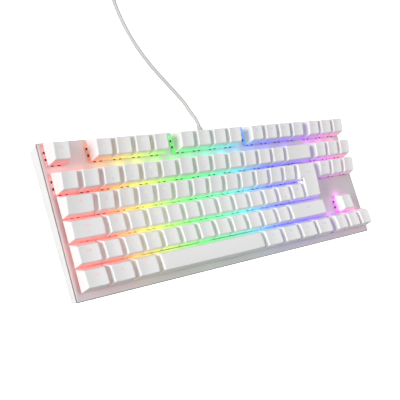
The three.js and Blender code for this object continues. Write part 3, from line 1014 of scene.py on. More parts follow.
@dataclass
class Keycaps(Assembly):
    """The caps: hollow shells with a dished top, round edges, legends and a stem."""

    gap: float = 0.85 * MM
    rest: float = 5.6 * MM
    wall: float = 1.2 * MM
    side: float = 2.3 * MM
    front: float = 1.9 * MM
    rear: float = 3.1 * MM
    edge: float = 0.75 * MM
    cell: float = 3.2 * MM
    cells: tuple[int, int] = (8, 28)
    dish: float = 0.55 * MM
    crown: float = 0.5 * MM
    stem: float = 5.6 * MM
    stem_drop: float = 0.2 * MM
    stem_edge: float = 0.4 * MM
    post: float = 3.6 * MM
    enter_post_drop: float = 1.0 * MM
    fade: float = 2.4 * MM
    side_light: float = 0.18
    front_light: float = 0.05
    legend_height: float = 4.2 * MM
    long_legend: float = 0.72
    legend_shift: float = 2.2 * MM
    enter_shift: float = 7.0 * MM
    second_height: float = 2.4 * MM
    second_shift: tuple[float, float] = (0.4 * MM, -3.0 * MM)
    legend_lift: float = 0.02 * MM
    legend_depth: float = 0.03 * MM
    fonts: dict[str, bpy.types.Mesh] = field(default_factory=dict)

    def build(self, layout: Layout) -> None:
        """Makes every cap.

        Args:
            layout: the key layout.
        """
        for key in layout.keys:
            self._plain(key)
        self._enter()

    def _surface(self, x0: float, x1: float, y0: float, y1: float, front: float, rear: float,
                 convex: bool) -> Height:
        """The height of a cap's top as a function of the place.

        Args:
            x0: left edge of the top.
            x1: right edge of the top.
            y0: front edge of the top.
            y1: rear edge of the top.
            front: height above the skirt at the front.
            rear: height above the skirt at the rear.
            convex: a crown across instead of a dish along.

        Returns:
            A function of deck X and Y.
        """
        def height(x: float, y: float) -> float:
            """Deck height of the top at a place."""
            slope = self.rest + front + (rear - front) * (y - y0) / (y1 - y0)
            across = (2 * x - x0 - x1) / (x1 - x0)
            along = (2 * y - y0 - y1) / (y1 - y0)
            if convex:
                return slope - self.crown * along ** 2
            return slope - self.dish * (1 - across ** 2)
        return height

    def _shell(self, skirt: Rectangle, front: float, rear: float,
               convex: bool = False, notch: tuple[float, float] | None = None,
               ) -> tuple[Mesh, Height]:
        """The hollow shell of a cap in the deck's frame.

        Args:
            skirt: left, front, right and rear edges of the skirt.
            front: height of the top's front edge above the skirt.
            rear: height of the top's rear edge above the skirt.
            convex: whether the top is crowned.
            notch: X and Y of the inner corner of an L-shaped cap.

        Returns:
            The mesh and the height of its top.
        """
        left, fore, right, aft = skirt
        x0, x1 = left + self.side, right - self.side
        y0, y1 = fore + self.front, aft - self.rear
        fewest, most = self.cells
        columns = min(most, max(fewest, 2 * round((x1 - x0) / self.cell)))
        lines = 5 if notch or convex else 3
        mesh = bmesh.new()
        bmesh.ops.create_grid(mesh, x_segments=columns, y_segments=lines, size=0.5)
        for v in mesh.verts:
            v.co.x = x0 + (v.co.x + 0.5) * (x1 - x0)
            v.co.y = y0 + (v.co.y + 0.5) * (y1 - y0)
        if notch:
            self._cut_notch(mesh, notch, (x1 - x0) / columns, (y1 - y0) / lines)
        height = self._surface(x0, x1, y0, y1, front, rear, convex)
        for v in mesh.verts:
            v.co.z = height(v.co.x, v.co.y)
        rim = [e for e in mesh.edges if e.is_boundary]
        skirts = bmesh.ops.extrude_edge_only(mesh, edges=rim)["geom"]
        uprights = []
        for v in [g for g in skirts if isinstance(g, bmesh.types.BMVert)]:
            shift = self._outward(v.co, (x0, y0, x1, y1), notch)
            if shift.x and shift.y:
                uprights += [e for e in v.link_edges if not e.is_boundary]
            v.co += shift
            v.co.z = self.rest
        self.shop.bevel(mesh, rim + uprights, self.edge, 3)
        self._hollow(mesh, (left, fore, right, aft), (x0, y0, x1, y1), front, rear)
        bmesh.ops.recalc_face_normals(mesh, faces=mesh.faces)
        return mesh, height

    def _cut_notch(self, mesh: Mesh, notch: tuple[float, float], column: float,
                   line: float) -> None:
        """Takes the front left corner out of a grid, along its nearest lines.

        Args:
            mesh: the flat grid.
            notch: X and Y of the notch's corner on the top.
            column: the width of a cell.
            line: the depth of a cell.
        """
        step, shoulder = notch
        for v in mesh.verts:
            if abs(v.co.x - step) < column / 2:
                v.co.x = step
            if abs(v.co.y - shoulder) < line / 2:
                v.co.y = shoulder
        middles = [(f, f.calc_center_median()) for f in mesh.faces]
        gone = [f for f, middle in middles if middle.x < step and middle.y < shoulder]
        bmesh.ops.delete(mesh, geom=gone, context="FACES")

    def _outward(self, place: Vector, top: Rectangle,
                 notch: tuple[float, float] | None) -> Vector:
        """How far a point of the top's rim moves out to reach the skirt.

        Args:
            place: the point.
            top: left, front, right and rear edges of the top.
            notch: X and Y of the notch's corner on the top.

        Returns:
            The shift.
        """
        near = 0.01 * MM
        x0, y0, x1, y1 = top
        shift = Vector((0, 0, 0))
        inner = notch is not None and all(place[i] < notch[i] + near for i in range(2))
        for axis, low, high, before, after in (
            (0, x0, x1, self.side, self.side),
            (1, y0, y1, self.front, self.rear),
        ):
            if abs(place[axis] - low) < near or (inner and abs(place[axis] - notch[axis]) < near):
                shift[axis] = -before
            if abs(place[axis] - high) < near:
                shift[axis] = after
        return shift

    def _hollow(self, mesh: Mesh, skirt: Rectangle,
                top: Rectangle, front: float, rear: float) -> None:
        """Closes the skirt with a rim and a hollow under the top.

        Args:
            mesh: the open outer shell.
            skirt: left, front, right and rear edges of the skirt.
            top: the same edges of the top.
            front: height of the top's front edge above the skirt.
            rear: height of the top's rear edge above the skirt.
        """
        hem = [v for v in mesh.verts if v.is_boundary]
        bmesh.ops.remove_doubles(mesh, verts=hem, dist=0.15 * MM)
        opening = [e for e in mesh.edges if e.is_boundary]
        floor = bmesh.ops.contextual_create(mesh, geom=opening)["faces"]
        bmesh.ops.inset_individual(mesh, faces=floor, thickness=self.wall, use_even_offset=True)
        ceiling = bmesh.ops.extrude_discrete_faces(mesh, faces=floor)["faces"]
        wall = Vector((self.wall, self.wall))
        low, high = Vector(skirt[:2]) + wall, Vector(skirt[2:]) - wall
        roof_low, roof_high = Vector(top[:2]) + wall, Vector(top[2:]) - wall
        for v in {v for f in ceiling for v in f.verts}:
            share_x = (v.co.x - low.x) / (high.x - low.x)
            share_y = (v.co.y - low.y) / (high.y - low.y)
            v.co.x = roof_low.x + share_x * (roof_high.x - roof_low.x)
            v.co.y = roof_low.y + share_y * (roof_high.y - roof_low.y)
            v.co.z = self.rest + front + share_y * (rear - front) - self.wall - self.dish

    def _stem(self, mesh: Mesh, x: float, y: float, size: float, roof: float) -> None:
        """Adds a square post that reaches down into a switch or stabiliser.

        Args:
            mesh: the cap's mesh.
            x: deck X of its middle.
            y: deck Y of its middle.
            size: its width.
            roof: the deck height of its top.
        """
        half = size / 2
        self.shop.block(mesh, (x - half, y - half, -self.stem_drop), (x + half, y + half, roof),
                        CapSlot.STEM, self.stem_edge)

    def _mark(self, mesh: Mesh, text: str, size: float, x: float, y: float,
              height: Height, material: int) -> None:
        """Lays a mark on the cap's top.

        Args:
            mesh: the cap's mesh.
            text: the characters.
            size: their height.
            x: deck X of the mark's middle.
            y: deck Y of the mark's middle.
            height: the top's height at a place.
            material: the number of the material slot.
        """
        cap_points = set(mesh.verts)
        mesh.from_mesh(self._glyphs(text))
        mark_points = [v for v in mesh.verts if v not in cap_points]
        for face in {f for v in mark_points for f in v.link_faces}:
            face.material_index = material
        for v in mark_points:
            v.co.x = x + v.co.x * size
            v.co.y = y + v.co.y * size
            up = self.legend_depth if v.co.z > 0 else -self.legend_depth
            v.co.z = height(v.co.x, v.co.y) + self.legend_lift + up

    def _glyphs(self, text: str) -> bpy.types.Mesh:
        """The characters as a thin solid of unit height, centred, made once.

        Args:
            text: the characters.

        Returns:
            The mesh.
        """
        if text not in self.fonts:
            curve = bpy.data.curves.new("legend", "FONT")
            curve.body = text
            curve.align_x = "CENTER"
            curve.align_y = "CENTER"
            curve.extrude = 0.1
            curve.resolution_u = 2
            holder = linked("legend", curve)
            bpy.context.view_layer.update()
            flat = holder.evaluated_get(bpy.context.evaluated_depsgraph_get())
            merged = bmesh.new()
            merged.from_mesh(flat.to_mesh())
            flat.to_mesh_clear()
            bmesh.ops.remove_doubles(merged, verts=merged.verts, dist=0.001)
            self.fonts[text] = as_data("legend", merged)
            bpy.data.objects.remove(holder)
            bpy.data.curves.remove(curve)
        return self.fonts[text]

    def _paint_skirt_light(self, mesh: Mesh, lit_front: bool) -> None:
        """Writes the lamps' light on the skirt as painted light: how far it shines through and onto
        the skirt.

        Args:
            mesh: the cap's mesh in the deck's frame.
            lit_front: whether the lamps of a row in front shine on its front.
        """
        glow = mesh.verts.layers.float_color.new(CapPlastic().attribute)
        # Painted light: its strength depends on which way a face points, and it fades up from the
        # skirt.
        for v in mesh.verts:
            facing = self.side_light
            if v.normal.y < -0.5:
                facing = 1.0 if lit_front else self.front_light
            elif v.normal.y > 0.5:
                facing = 1.0
            fade = math.exp(-max(0.0, v.co.z - self.rest) / self.fade)
            v[glow] = (*(HUES.at(v.co.x) * facing * fade), facing * fade)

    def _finish(self, mesh: Mesh, name: str, body: str) -> Piece:
        """Brings a cap from the deck's frame to the desk's and dresses it."""
        materials = [self.finishes.cap, self.finishes.stem, self.finishes.legend, self.finishes.ink]
        return self.shop.piece(mesh, f"cap_{name}", body, "cap_plastic", materials,
                               self.shop.tilted, sharp=50)

    def _plain(self, key: Key) -> None:
        """Makes the cap of a rectangular key.

        Args:
            key: the key.
        """
        deck = self.shop.deck
        half = self.gap / 2
        skirt = (
            deck.x(key.u) + half, deck.y(key.row.v) + half,
            deck.x(key.u + key.units) - half, deck.y(key.row.v + 1) - half,
        )
        mesh, height = self._shell(skirt, key.row.front, key.row.rear, convex=key.name == "space")
        x, y = deck.x(key.middle[0]), deck.y(key.middle[1])
        roof = height(x, y) - self.wall / 2
        self._stem(mesh, x, y, self.stem, roof)
        for offset in key.posts:
            self._stem(mesh, x + offset, y, self.post, roof)
        middle = (skirt[1] + self.front + skirt[3] - self.rear) / 2
        if key.legend:
            size = self.legend_height * (1.0 if len(key.legend) == 1 else self.long_legend)
            self._mark(mesh, key.legend, size, x, middle + self.legend_shift, height,
                       CapSlot.LEGEND)
        if key.second:
            across, along = self.second_shift
            self._mark(mesh, key.second, self.second_height, x + across, middle + along, height,
                       CapSlot.INK)
        self._paint_skirt_light(mesh, key.row is not Row.BOTTOM)
        made = self._finish(mesh, key.name, key.body)
        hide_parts(key.node)

    def _enter(self) -> None:
        """Makes the L-shaped Enter cap."""
        deck = self.shop.deck
        half = self.gap / 2
        left, fore, right, aft = ENTER_SKIRT
        step, shoulder = ENTER_NOTCH
        skirt = (deck.x(left) + half, deck.y(fore) + half, deck.x(right) - half, deck.y(aft) - half)
        notch = (deck.x(step) + half + self.side, deck.y(shoulder) + half + self.front)
        mesh, height = self._shell(skirt, Row.HOME.front, Row.TAB.rear, notch=notch)
        x, y = deck.x(ENTER_MIDDLE[0]), deck.y(ENTER_MIDDLE[1])
        roof = height(x, y) - self.wall / 2
        self._stem(mesh, x, y, self.stem, roof)
        for offset in (-WIDE_SPACING, WIDE_SPACING):
            self._stem(mesh, x, y + offset, self.post, roof - self.enter_post_drop)
        size = self.legend_height * self.long_legend
        self._mark(mesh, "Enter", size, x, y + self.enter_shift, height, CapSlot.LEGEND)
        self._paint_skirt_light(mesh, True)
        made = self._finish(mesh, "enter", "enter_key")
        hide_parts("key_enter")


# ---- Switches and board ----------------------------------------------------------------


@dataclass
class Switches(Assembly):
    """The switch housings: a frosted top, latch windows, a lamp and the stem's pocket."""

    below: float = 13.4 * MM
    board_depth: float = 5.0 * MM
    flange: float = 15.6 * MM
    flange_height: float = 0.9 * MM
    lift: float = 0.05 * MM
    waist: float = 13.6 * MM
    top_x: float = 11.0 * MM
    top_y: float = 9.8 * MM
    height: float = 6.2 * MM
    pocket: float = 7.0 * MM
    pocket_depth: float = 4.5 * MM
    window: float = 2.1 * MM
    window_height: float = 0.9 * MM
    window_depth: float = 0.6 * MM
    tongue: float = 0.8 * MM
    tongue_height: float = 0.4 * MM
    window_spacing: float = 2.85 * MM
    lamp: tuple[float, float] = (3.2 * MM, 1.6 * MM)
    lamp_top: float = 2.1 * MM
    lamp_inset: float = 0.5 * MM
    lamp_edge: float = 0.3 * MM
    flange_edge: float = 0.2 * MM
    bury: float = 0.1 * MM

    def build(self, layout: Layout) -> None:
        """Makes every switch housing.

        Args:
            layout: the key layout.
        """
        deck = self.shop.deck
        for name, (u, v) in layout.switch_middles():
            mesh = self._housing()
            place = self.shop.tilted @ Matrix.Translation((deck.x(u), deck.y(v), 0))
            materials = [self.finishes.housing, self.finishes.window, self.finishes.lens]
            self.shop.piece(mesh, f"switch_{name}", "base", "board", materials, place)

    def _housing(self) -> Mesh:
        """One housing about its own middle, with the plate's top at zero."""
        mesh = bmesh.new()
        low, wide, waist = self.below / 2, self.flange / 2, self.waist / 2
        self.shop.block(mesh, (-low, -low, -self.board_depth), (low, low, self.lift + self.bury))
        self.shop.block(mesh, (-wide, -wide, self.lift), (wide, wide, self.flange_height), 0,
                        self.flange_edge)
        corners = self.shop.block(mesh, (-waist, -waist, self.flange_height - self.bury),
                                  (waist, waist, self.height))
        upper = [v for v in corners if v.co.z > self.height - self.bury]
        scale = Matrix.Diagonal((self.top_x / self.waist, self.top_y / self.waist, 1.0, 1.0))
        bmesh.ops.transform(mesh, matrix=scale, verts=upper)
        self.shop.well(mesh, upper, (self.top_y - self.pocket) / 2, self.pocket_depth)
        self._windows(mesh)
        half_x, half_y = self.lamp[0] / 2, self.lamp[1] / 2
        y = waist - half_y - self.lamp_inset
        self.shop.block(mesh, (-half_x, y - half_y, self.flange_height),
                        (half_x, y + half_y, self.lamp_top), 2, self.lamp_edge)
        return mesh

    def _windows(self, mesh: Mesh) -> None:
        """Adds near-black blocks of painted shade, two on each side: the latch windows' shaded
        openings on the left and right, and tongues past the flange at the front and rear for the
        shadow under the skirts.

        Args:
            mesh: the housing's mesh.
        """
        deep, half, low = self.waist / 2 - self.window_depth, self.window / 2, self.lift
        for sign, offset in itertools.product((-1, 1), (-self.window_spacing, self.window_spacing)):
            near, far = sorted((sign * deep, sign * (self.flange / 2 + self.lift)))
            high = low + self.window_height
            self.shop.block(mesh, (near, offset - half, low), (far, offset + half, high), 1)
            near, far = sorted((sign * deep, sign * (self.flange / 2 + self.tongue)))
            high = low + self.tongue_height
            self.shop.block(mesh, (offset - half, near, low), (offset + half, far, high), 1)


@dataclass
class CircuitBoard(Assembly):
    """The board with its stabiliser housings and controller chips."""

    depth: float = 5.0 * MM
    thickness: float = 1.6 * MM
    inset: float = 4.86 * MM
    corner: float = 1.0 * MM
    chips: tuple[tuple[float, float], ...] = ((-0.3, 7 * MM), (0.02, 9 * MM), (0.33, 5 * MM))
    chip_height: float = 1.0 * MM
    chip_edge: float = 0.15 * MM
    bury: float = 0.1 * MM
    stabiliser: Triple = (6.2 * MM, 12.0 * MM, 3.2 * MM)
    stabiliser_wall: float = 0.9 * MM
    stabiliser_edge: float = 0.25 * MM

    def build(self, layout: Layout) -> None:
        """Makes the board and what is soldered to it.

        Args:
            layout: the key layout.
        """
        deck = self.shop.deck
        mesh = bmesh.new()
        x, y = deck.width / 2 - self.inset, deck.depth / 2 - self.inset
        low = -self.depth - self.thickness
        corners = self.shop.block(mesh, (-x, -y, low), (x, y, -self.depth))
        upright = [e for e in {e for v in corners for e in v.link_edges}
                   if abs(e.verts[0].co.z - e.verts[1].co.z) > self.thickness / 2]
        self.shop.bevel(mesh, upright, self.corner, 4)
        for share, size in self.chips:
            middle, half = share * deck.width, size / 2
            self.shop.block(mesh, (middle - half, -half, low - self.chip_height),
                            (middle + half, half, low + self.bury), 1, self.chip_edge)
        made = self.shop.piece(mesh, "board_laminate", "base", "board",
                               [self.finishes.board, self.finishes.chip], self.shop.tilted)
        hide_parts("circuit_board")
        for name, u, v, across, along, turned in layout.stabilisers():
            self._stabiliser(name, deck.x(u) + across, deck.y(v) + along, turned)

    def _stabiliser(self, name: str, x: float, y: float, upright: bool) -> None:
        """Makes one stabiliser housing.

        Args:
            name: the stabiliser's name.
            x: deck X of its middle.
            y: deck Y of its middle.
            upright: whether it stands turned by a quarter.
        """
        size_x, size_y, height = self.stabiliser
        mesh = bmesh.new()
        corners = self.shop.block(mesh, (-size_x / 2, -size_y / 2, -self.depth),
                                  (size_x / 2, size_y / 2, height))
        self.shop.well(mesh, [v for v in corners if v.co.z > 0], self.stabiliser_wall, height)
        turn = Matrix.Rotation(math.pi / 2 if upright else 0.0, 4, "Z")
        place = self.shop.tilted @ Matrix.Translation((x, y, 0)) @ turn
        # The stabiliser housings wear the same finish, with its painted lamp glow.
        self.shop.piece(mesh, f"stabiliser_{name}", "base", "board", [self.finishes.housing], place,
                        rounding=self.stabiliser_edge)


# ---- Plate and case --------------------------------------------------------------------


@dataclass
class TopPlate(Assembly):
    """The painted metal plate, which carries the light of the lamps as a colour attribute."""

    cell: float = 2.6 * MM
    lamp_offset: float = 5.1 * MM
    lamp_height: float = 3.4 * MM
    lamp_power: float = 190.0
    backward: float = 0.42
    reach: float = 30 * MM
    chamfer: float = 0.75 * MM
    steepest: float = 0.25
    flattest: float = 0.9

    def build(self, layout: Layout) -> None:
        """Makes the plate.

        Args:
            layout: the key layout.
        """
        mesh = self.shop.copy_of("switch_plate")
        self._edge(mesh)
        low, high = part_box("switch_plate")
        for axis in range(2):
            normal = Vector((0, 0, 0))
            normal[axis] = 1.0
            cuts = round((high[axis] - low[axis]) / self.cell)
            for i in range(1, cuts):
                point = low.copy()
                point[axis] += (high[axis] - low[axis]) * i / cuts
                geometry = [*mesh.verts, *mesh.edges, *mesh.faces]
                bmesh.ops.bisect_plane(mesh, geom=geometry, dist=0.001 * MM, plane_co=point,
                                       plane_no=normal)
        self._light(mesh, layout)
        made = self.shop.piece(mesh, "top_plate", "base", "plate_paint",
                               [self.finishes.paint, self.finishes.edge_shade])
        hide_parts("switch_plate")

    def _edge(self, mesh: Mesh) -> None:
        """Chamfers the plate's outer edge and paints the chamfer near-black, as painted shade for
        the shadow gap along the rim.

        Args:
            mesh: the plate's mesh, in place.
        """
        deck = self.shop.deck
        to_deck = self.shop.tilted.inverted()
        near = deck.margin_left / 2

        def outside(v: bmesh.types.BMVert) -> bool:
            """Whether a point is on the plate's outline."""
            place = to_deck @ v.co
            return abs(place.x) > deck.width / 2 - near or abs(place.y) > deck.depth / 2 - near

        rim = [
            e for e in mesh.edges
            if all(outside(v) and (to_deck @ v.co).z > -deck.plate_thickness / 2 for v in e.verts)
            and e.calc_face_angle(0.0) > 1.0
        ]
        self.shop.bevel(mesh, rim, self.chamfer, 1)
        # Painted shade: the sloping chamfer faces on the outline get the near-black edge material.
        for face in mesh.faces:
            sloping = self.steepest < face.normal.z < self.flattest
            if sloping and all(outside(v) for v in face.verts):
                face.material_index = 1

    def _light(self, mesh: Mesh, layout: Layout) -> None:
        """Writes the light of the lamps on every point of the plate.

        Args:
            mesh: the finely divided plate.
            layout: the key layout.
        """
        deck = self.shop.deck
        lamps = [
            Vector((deck.x(u), deck.y(v) + self.lamp_offset, self.lamp_height))
            for _, (u, v) in layout.switch_middles()
        ]
        to_deck = self.shop.tilted.inverted()
        light = mesh.verts.layers.float_color.new(LitPaint().attribute)
        for v in mesh.verts:
            place = to_deck @ v.co
            total = Vector((0, 0, 0))
            for lamp in lamps:
                away = place - lamp
                if abs(away.x) < self.reach and abs(away.y) < self.reach:
                    facing = 1 - self.backward + self.backward * away.y / away.length
                    total += HUES.at(lamp.x) * (self.lamp_power * facing / (away.length / MM) ** 3)
            v[light] = (*total, 1.0)


@dataclass
class BottomCase(Assembly):
    """The tray, its screws, the rubber pads and the flip feet."""

    tray_edge: float = 0.45 * MM
    pad_edge: float = 0.5 * MM
    blade_edge: float = 0.3 * MM
    tip_edge: float = 0.4 * MM
    screw_radius: float = 2.4 * MM
    screw_taper: float = 0.86
    screw_height: float = 0.5 * MM
    screw_rim: float = 0.9 * MM
    screw_lift: float = 0.2 * MM
    cross: Triple = (1.4 * MM, 0.25 * MM, 0.32 * MM)
    boss_foot: float = -12 * MM
    screws: tuple[tuple[float, float], ...] = (
        (1.5, 5.125), (8.75, 5.125), (15.125, 5.125), (3, 1), (8.75, 1), (15.125, 1),
    )

    def build(self) -> None:
        """Makes the tray and everything under it."""
        case, rubber = "case_plastic", self.finishes.rubber
        self._refine("bottom_case", "case_tray", "base", case, self.finishes.case, self.tray_edge,
                     sharp=35)
        self._screws()
        for side in ("front_left", "front_right", "rear_left", "rear_right"):
            self._refine(f"pad_{side}", f"rubber_{side}", "base", "rubber", rubber, self.pad_edge)
        for side in ("left", "right"):
            body = f"foot_{side}"
            self._refine(f"flip_foot_{side}", f"foot_blade_{side}", body, case,
                         self.finishes.foot, self.blade_edge)
            self._refine(f"foot_tip_{side}", f"foot_rubber_{side}", body, "rubber", rubber,
                         self.tip_edge)

    def _refine(self, node: str, name: str, body: str, slot: str, finish: Material, edge: float,
                sharp: float = 40.0) -> None:
        """Replaces a CAD node by a copy with rounded edges.

        Args:
            node: the CAD node.
            name: the new piece's name.
            body: the body that it rides on.
            slot: the record's material slot.
            finish: its material.
            edge: how wide its edges are rounded.
            sharp: the angle in degrees past which an edge is rounded.
        """
        made = self.shop.piece(self.shop.copy_of(node), name, body, slot, [finish],
                               rounding=edge, sharp=sharp)
        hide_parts(node)

    def _screws(self) -> None:
        """Adds the countersunk screws under the bosses."""
        deck = self.shop.deck
        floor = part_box("bottom_case")[0].z
        length, width, deep = self.cross
        for i, (u, v) in enumerate(self.screws):
            mesh = bmesh.new()
            bmesh.ops.create_cone(mesh, cap_ends=True, segments=24, radius1=self.screw_radius,
                                  radius2=self.screw_radius * self.screw_taper,
                                  depth=self.screw_height)
            bottom = [f for f in mesh.faces if f.normal.z < -0.9]
            bmesh.ops.inset_individual(mesh, faces=bottom, thickness=self.screw_rim)
            # The cross recess is a near-black block: painted shade in the recess.
            for x, y in ((length, width), (width, length)):
                self.shop.block(mesh, (-x, -y, -deep), (x, y, 0), 1)
            x = deck.x(u)
            y = (self.shop.tilted @ Vector((x, deck.y(v), self.boss_foot))).y
            place = Matrix.Translation((x, y, floor + self.screw_lift))
            self.shop.piece(mesh, f"screw_{i + 1}", "base", "plug_steel",
                            [self.finishes.screw, self.finishes.window], place)


# ---- Lead ------------------------------------------------------------------------------


@dataclass
class Lead(Assembly):
    """The USB lead: the cable with its coil and tie, the strain relief and the plug."""

    length: float = 1.8
    radius: float = 1.75 * MM
    column: float = 3.6 * MM
    layer: float = 3.55 * MM
    outer: float = 25.4 * MM
    inner: float = 14.6 * MM
    last_radius: float = 29.0 * MM
    per_turn: int = 16
    tie_angle: float = 52.0
    tie_width: float = 10.0 * MM
    tie_play: float = 0.15 * MM
    tie_floor: float = 0.45 * MM
    tie_bend: float = 2.2 * MM
    tie_thickness: float = 0.4 * MM
    tie_flap: tuple[float, float] = (5.0 * MM, 14.0 * MM)
    centre: tuple[float, float] = (-25.1 * MM, 246 * MM)
    floor: float = 1.8 * MM
    route_mm: tuple[Triple, ...] = (
        (-2.0, 70.4, 7.3),
        (-2.0, 74.0, 7.1),
        (-2.0, 78.0, 6.1),
        (-2.1, 82.5, 4.3),
        (-2.5, 87.0, 2.6),
        (-3.6, 92.0, 1.8),
        (-6.0, 97.5, 1.8),
        (-9.6, 103.5, 1.8),
        (-14.0, 110.0, 1.8),
        (-19.0, 117.5, 1.8),
        (-24.4, 125.5, 1.8),
        (-29.8, 134.0, 1.8),
        (-34.8, 143.0, 1.8),
        (-39.2, 152.5, 1.8),
        (-43.0, 162.5, 1.8),
        (-46.0, 173.0, 1.8),
        (-48.3, 184.0, 1.8),
        (-49.8, 195.5, 1.8),
        (-50.4, 207.0, 1.8),
        (-50.5, 217.0, 1.8),
        (-50.5, 225.6, 1.8),
        (-50.5, 236.0, 1.8),
    )

    def build(self) -> None:
        points = self._fitted()
        curve = bpy.data.curves.new("cable_lead", "CURVE")
        curve.dimensions = "3D"
        curve.bevel_depth = self.radius
        curve.bevel_resolution = 4
        curve.resolution_u = 3
        curve.use_fill_caps = True
        line = curve.splines.new("BEZIER")
        line.bezier_points.add(len(points) - 1)
        for i, (knot, point) in enumerate(zip(line.bezier_points, points)):
            before, after = points[max(0, i - 1)], points[min(len(points) - 1, i + 1)]
            heading = (after - before).normalized()
            knot.co = point
            knot.handle_left = point - heading * (point - before).length / 3
            knot.handle_right = point + heading * (after - point).length / 3
        curve.materials.append(self.finishes.jacket)
        cable = linked("cable_lead", curve)
        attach(cable, "base")
        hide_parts("cable", "cable_coil")
        relief = StrainRelief(self.shop, self.finishes).build()
        tie = self._tie()
        pieces = [relief, tie, *Plug(self.shop, self.finishes).build()]
        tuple(points[0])
        log.info("cable_lead on base: %d points", len(points))

    def _coil(self, narrow: float) -> list[Vector]:
        """The coil's points, in four layers and one last turn outside them.

        Args:
            narrow: the radius that the third layer reaches.

        Returns:
            The points.
        """
        climb = 0.35
        full = (self.outer - self.inner) / self.column
        partial = 2.2
        top = 3 * self.layer
        legs = [
            (full, self.outer, self.inner, 0.0, 0.0),
            (climb, self.inner, self.inner, 0.0, self.layer),
            (full, self.inner, self.outer, self.layer, self.layer),
            (climb, self.outer, self.outer, self.layer, 2 * self.layer),
            (partial, self.outer, narrow, 2 * self.layer, 2 * self.layer),
            (climb, narrow, narrow, 2 * self.layer, top),
            (partial, narrow, self.outer, top, top),
            (0.25, self.outer, self.last_radius, top, top),
            (0.55, self.last_radius, self.last_radius, top, 0.0),
        ]
        points = []
        turned = 0.0
        for turns, start, end, low, high in legs:
            steps = round(turns * self.per_turn)
            for i in range(steps):
                share = i / steps
                radius = start + (end - start) * (share if turns > 1 else ease(share))
                height = low + (high - low) * ease(share)
                points.append(self._on_coil(turned + turns * share, radius, height))
            turned += turns
        points.append(self._on_coil(turned, self.last_radius, 0.0))
        return points

    def _on_coil(self, turned: float, radius: float, height: float) -> Vector:
        """A point of the coil, clockwise from its left side."""
        angle = math.pi * (1 - 2 * turned)
        x = self.centre[0] + radius * math.cos(angle)
        y = self.centre[1] + radius * math.sin(angle)
        return Vector((x, y, self.floor + height))

    def _fitted(self) -> list[Vector]:
        """The whole lead's points, with the coil fitted to the lead's real length."""
        start = [Vector(point) * MM for point in self.route_mm]
        plug_low, plug_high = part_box("plug_body")
        end_y = (plug_low.y + plug_high.y) / 2
        end_z = (plug_low.z + plug_high.z) / 2
        reach = plug_low.x - self.centre[0]
        tail = []
        for share in (0.3, 0.6, 0.85, 1.0):
            height = self.floor + (end_z - self.floor) * ease(share)
            tail.append(Vector((self.centre[0] + reach * share, end_y, height)))
        low, high = self.inner, self.outer
        for _ in range(30):
            narrow = (low + high) / 2
            points = start + self._coil(narrow) + tail
            if self._measure(points) < self.length:
                low = narrow
            else:
                high = narrow
        log.info("the third layer reaches %.1f mm, for a lead of %.4f m", narrow / MM,
                 self._measure(points))
        return points

    @staticmethod
    def _measure(points: list[Vector]) -> float:
        """The length of the smooth line through points, from its chords and their turns."""
        total = 0.0
        for i in range(len(points) - 1):
            chord = points[i + 1] - points[i]
            before = points[i] - points[max(0, i - 1)]
            bend = before.angle(chord, 0.0) if before.length > 0 else 0.0
            total += chord.length * (1 + bend * bend / 24)
        return total

    def _tie(self) -> Piece:
        """The hook-and-loop tie round the coil's turns."""
        mesh = bmesh.new()
        play = self.radius + self.tie_play
        inside, outside = self.inner - play, self.outer + play
        top = self.floor + 3 * self.layer + self.radius + 0.1 * MM
        half = self.tie_width / 2
        self.shop.block(mesh, (inside, -half, self.tie_floor), (outside, half, top))
        ends = [f for f in mesh.faces if abs(f.normal.y) > 0.9]
        bmesh.ops.delete(mesh, geom=ends, context="FACES_ONLY")
        along = [e for e in mesh.edges if abs(e.verts[0].co.y - e.verts[1].co.y) > half]
        self.shop.bevel(mesh, along, self.tie_bend, 5)
        bmesh.ops.recalc_face_normals(mesh, faces=mesh.faces)
        bmesh.ops.solidify(mesh, geom=mesh.faces[:], thickness=-self.tie_thickness)
        side = half - self.tie_thickness
        near, far = self.tie_flap
        self.shop.block(mesh, (outside - near, -side, top),
                        (outside - far, side, top + 2 * self.tie_thickness), 0, 0.3 * MM)
        bmesh.ops.recalc_face_normals(mesh, faces=mesh.faces)
        turn = Matrix.Rotation(math.radians(self.tie_angle), 4, "Z")
        place = Matrix.Translation((*self.centre, 0)) @ turn
        return self.shop.piece(mesh, "coil_tie", "base", "cable_jacket", [self.finishes.tape],
                               place)


@dataclass
class StrainRelief(Assembly):
    """The ribbed sleeve in the rear wall that keeps the lead from bending sharply."""

    sleeve: float = 7.2 * MM
    head: float = 3.1 * MM
    head_length: float = 1.0 * MM
    neck: float = 2.5 * MM
    collar: float = 0.9 * MM
    ribs: int = 5
    rib_depth: float = 0.35 * MM
    last_rib: float = 2.35 * MM
    mouth: tuple[float, float] = (2.2 * MM, 1.85 * MM)

    def build(self) -> Piece:
        """Makes the sleeve.

        Returns:
            The piece.
        """
        low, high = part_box("strain_relief")
        flange = (high.x - low.x) / 2
        start, end = low.y, high.y
        sleeve, shoulder = end - self.sleeve, start + self.head_length
        profile = [(0.0, start), (self.head, start), (self.head, shoulder), (self.neck, shoulder),
                   (self.neck, sleeve - 0.05 * MM), (flange, sleeve),
                   (flange, sleeve + self.collar)]
        for i in range(self.ribs):
            y = sleeve + (1.5 + i) * MM
            wide = flange - (flange - self.last_rib) * (i + 0.5) / self.ribs
            root = wide - self.rib_depth
            profile += [(root, y - 0.3 * MM), (wide, y - 0.1 * MM), (wide, y + 0.3 * MM),
                        (root, y + 0.5 * MM)]
        profile += [(self.mouth[0], end), (self.mouth[1], end), (0.0, end)]
        mesh = self.shop.turned(profile, (low + high) / 2)
        made = self.shop.piece(mesh, "relief_sleeve", "base", "cable_jacket",
                               [self.finishes.jacket])
        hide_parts("strain_relief")
        return made


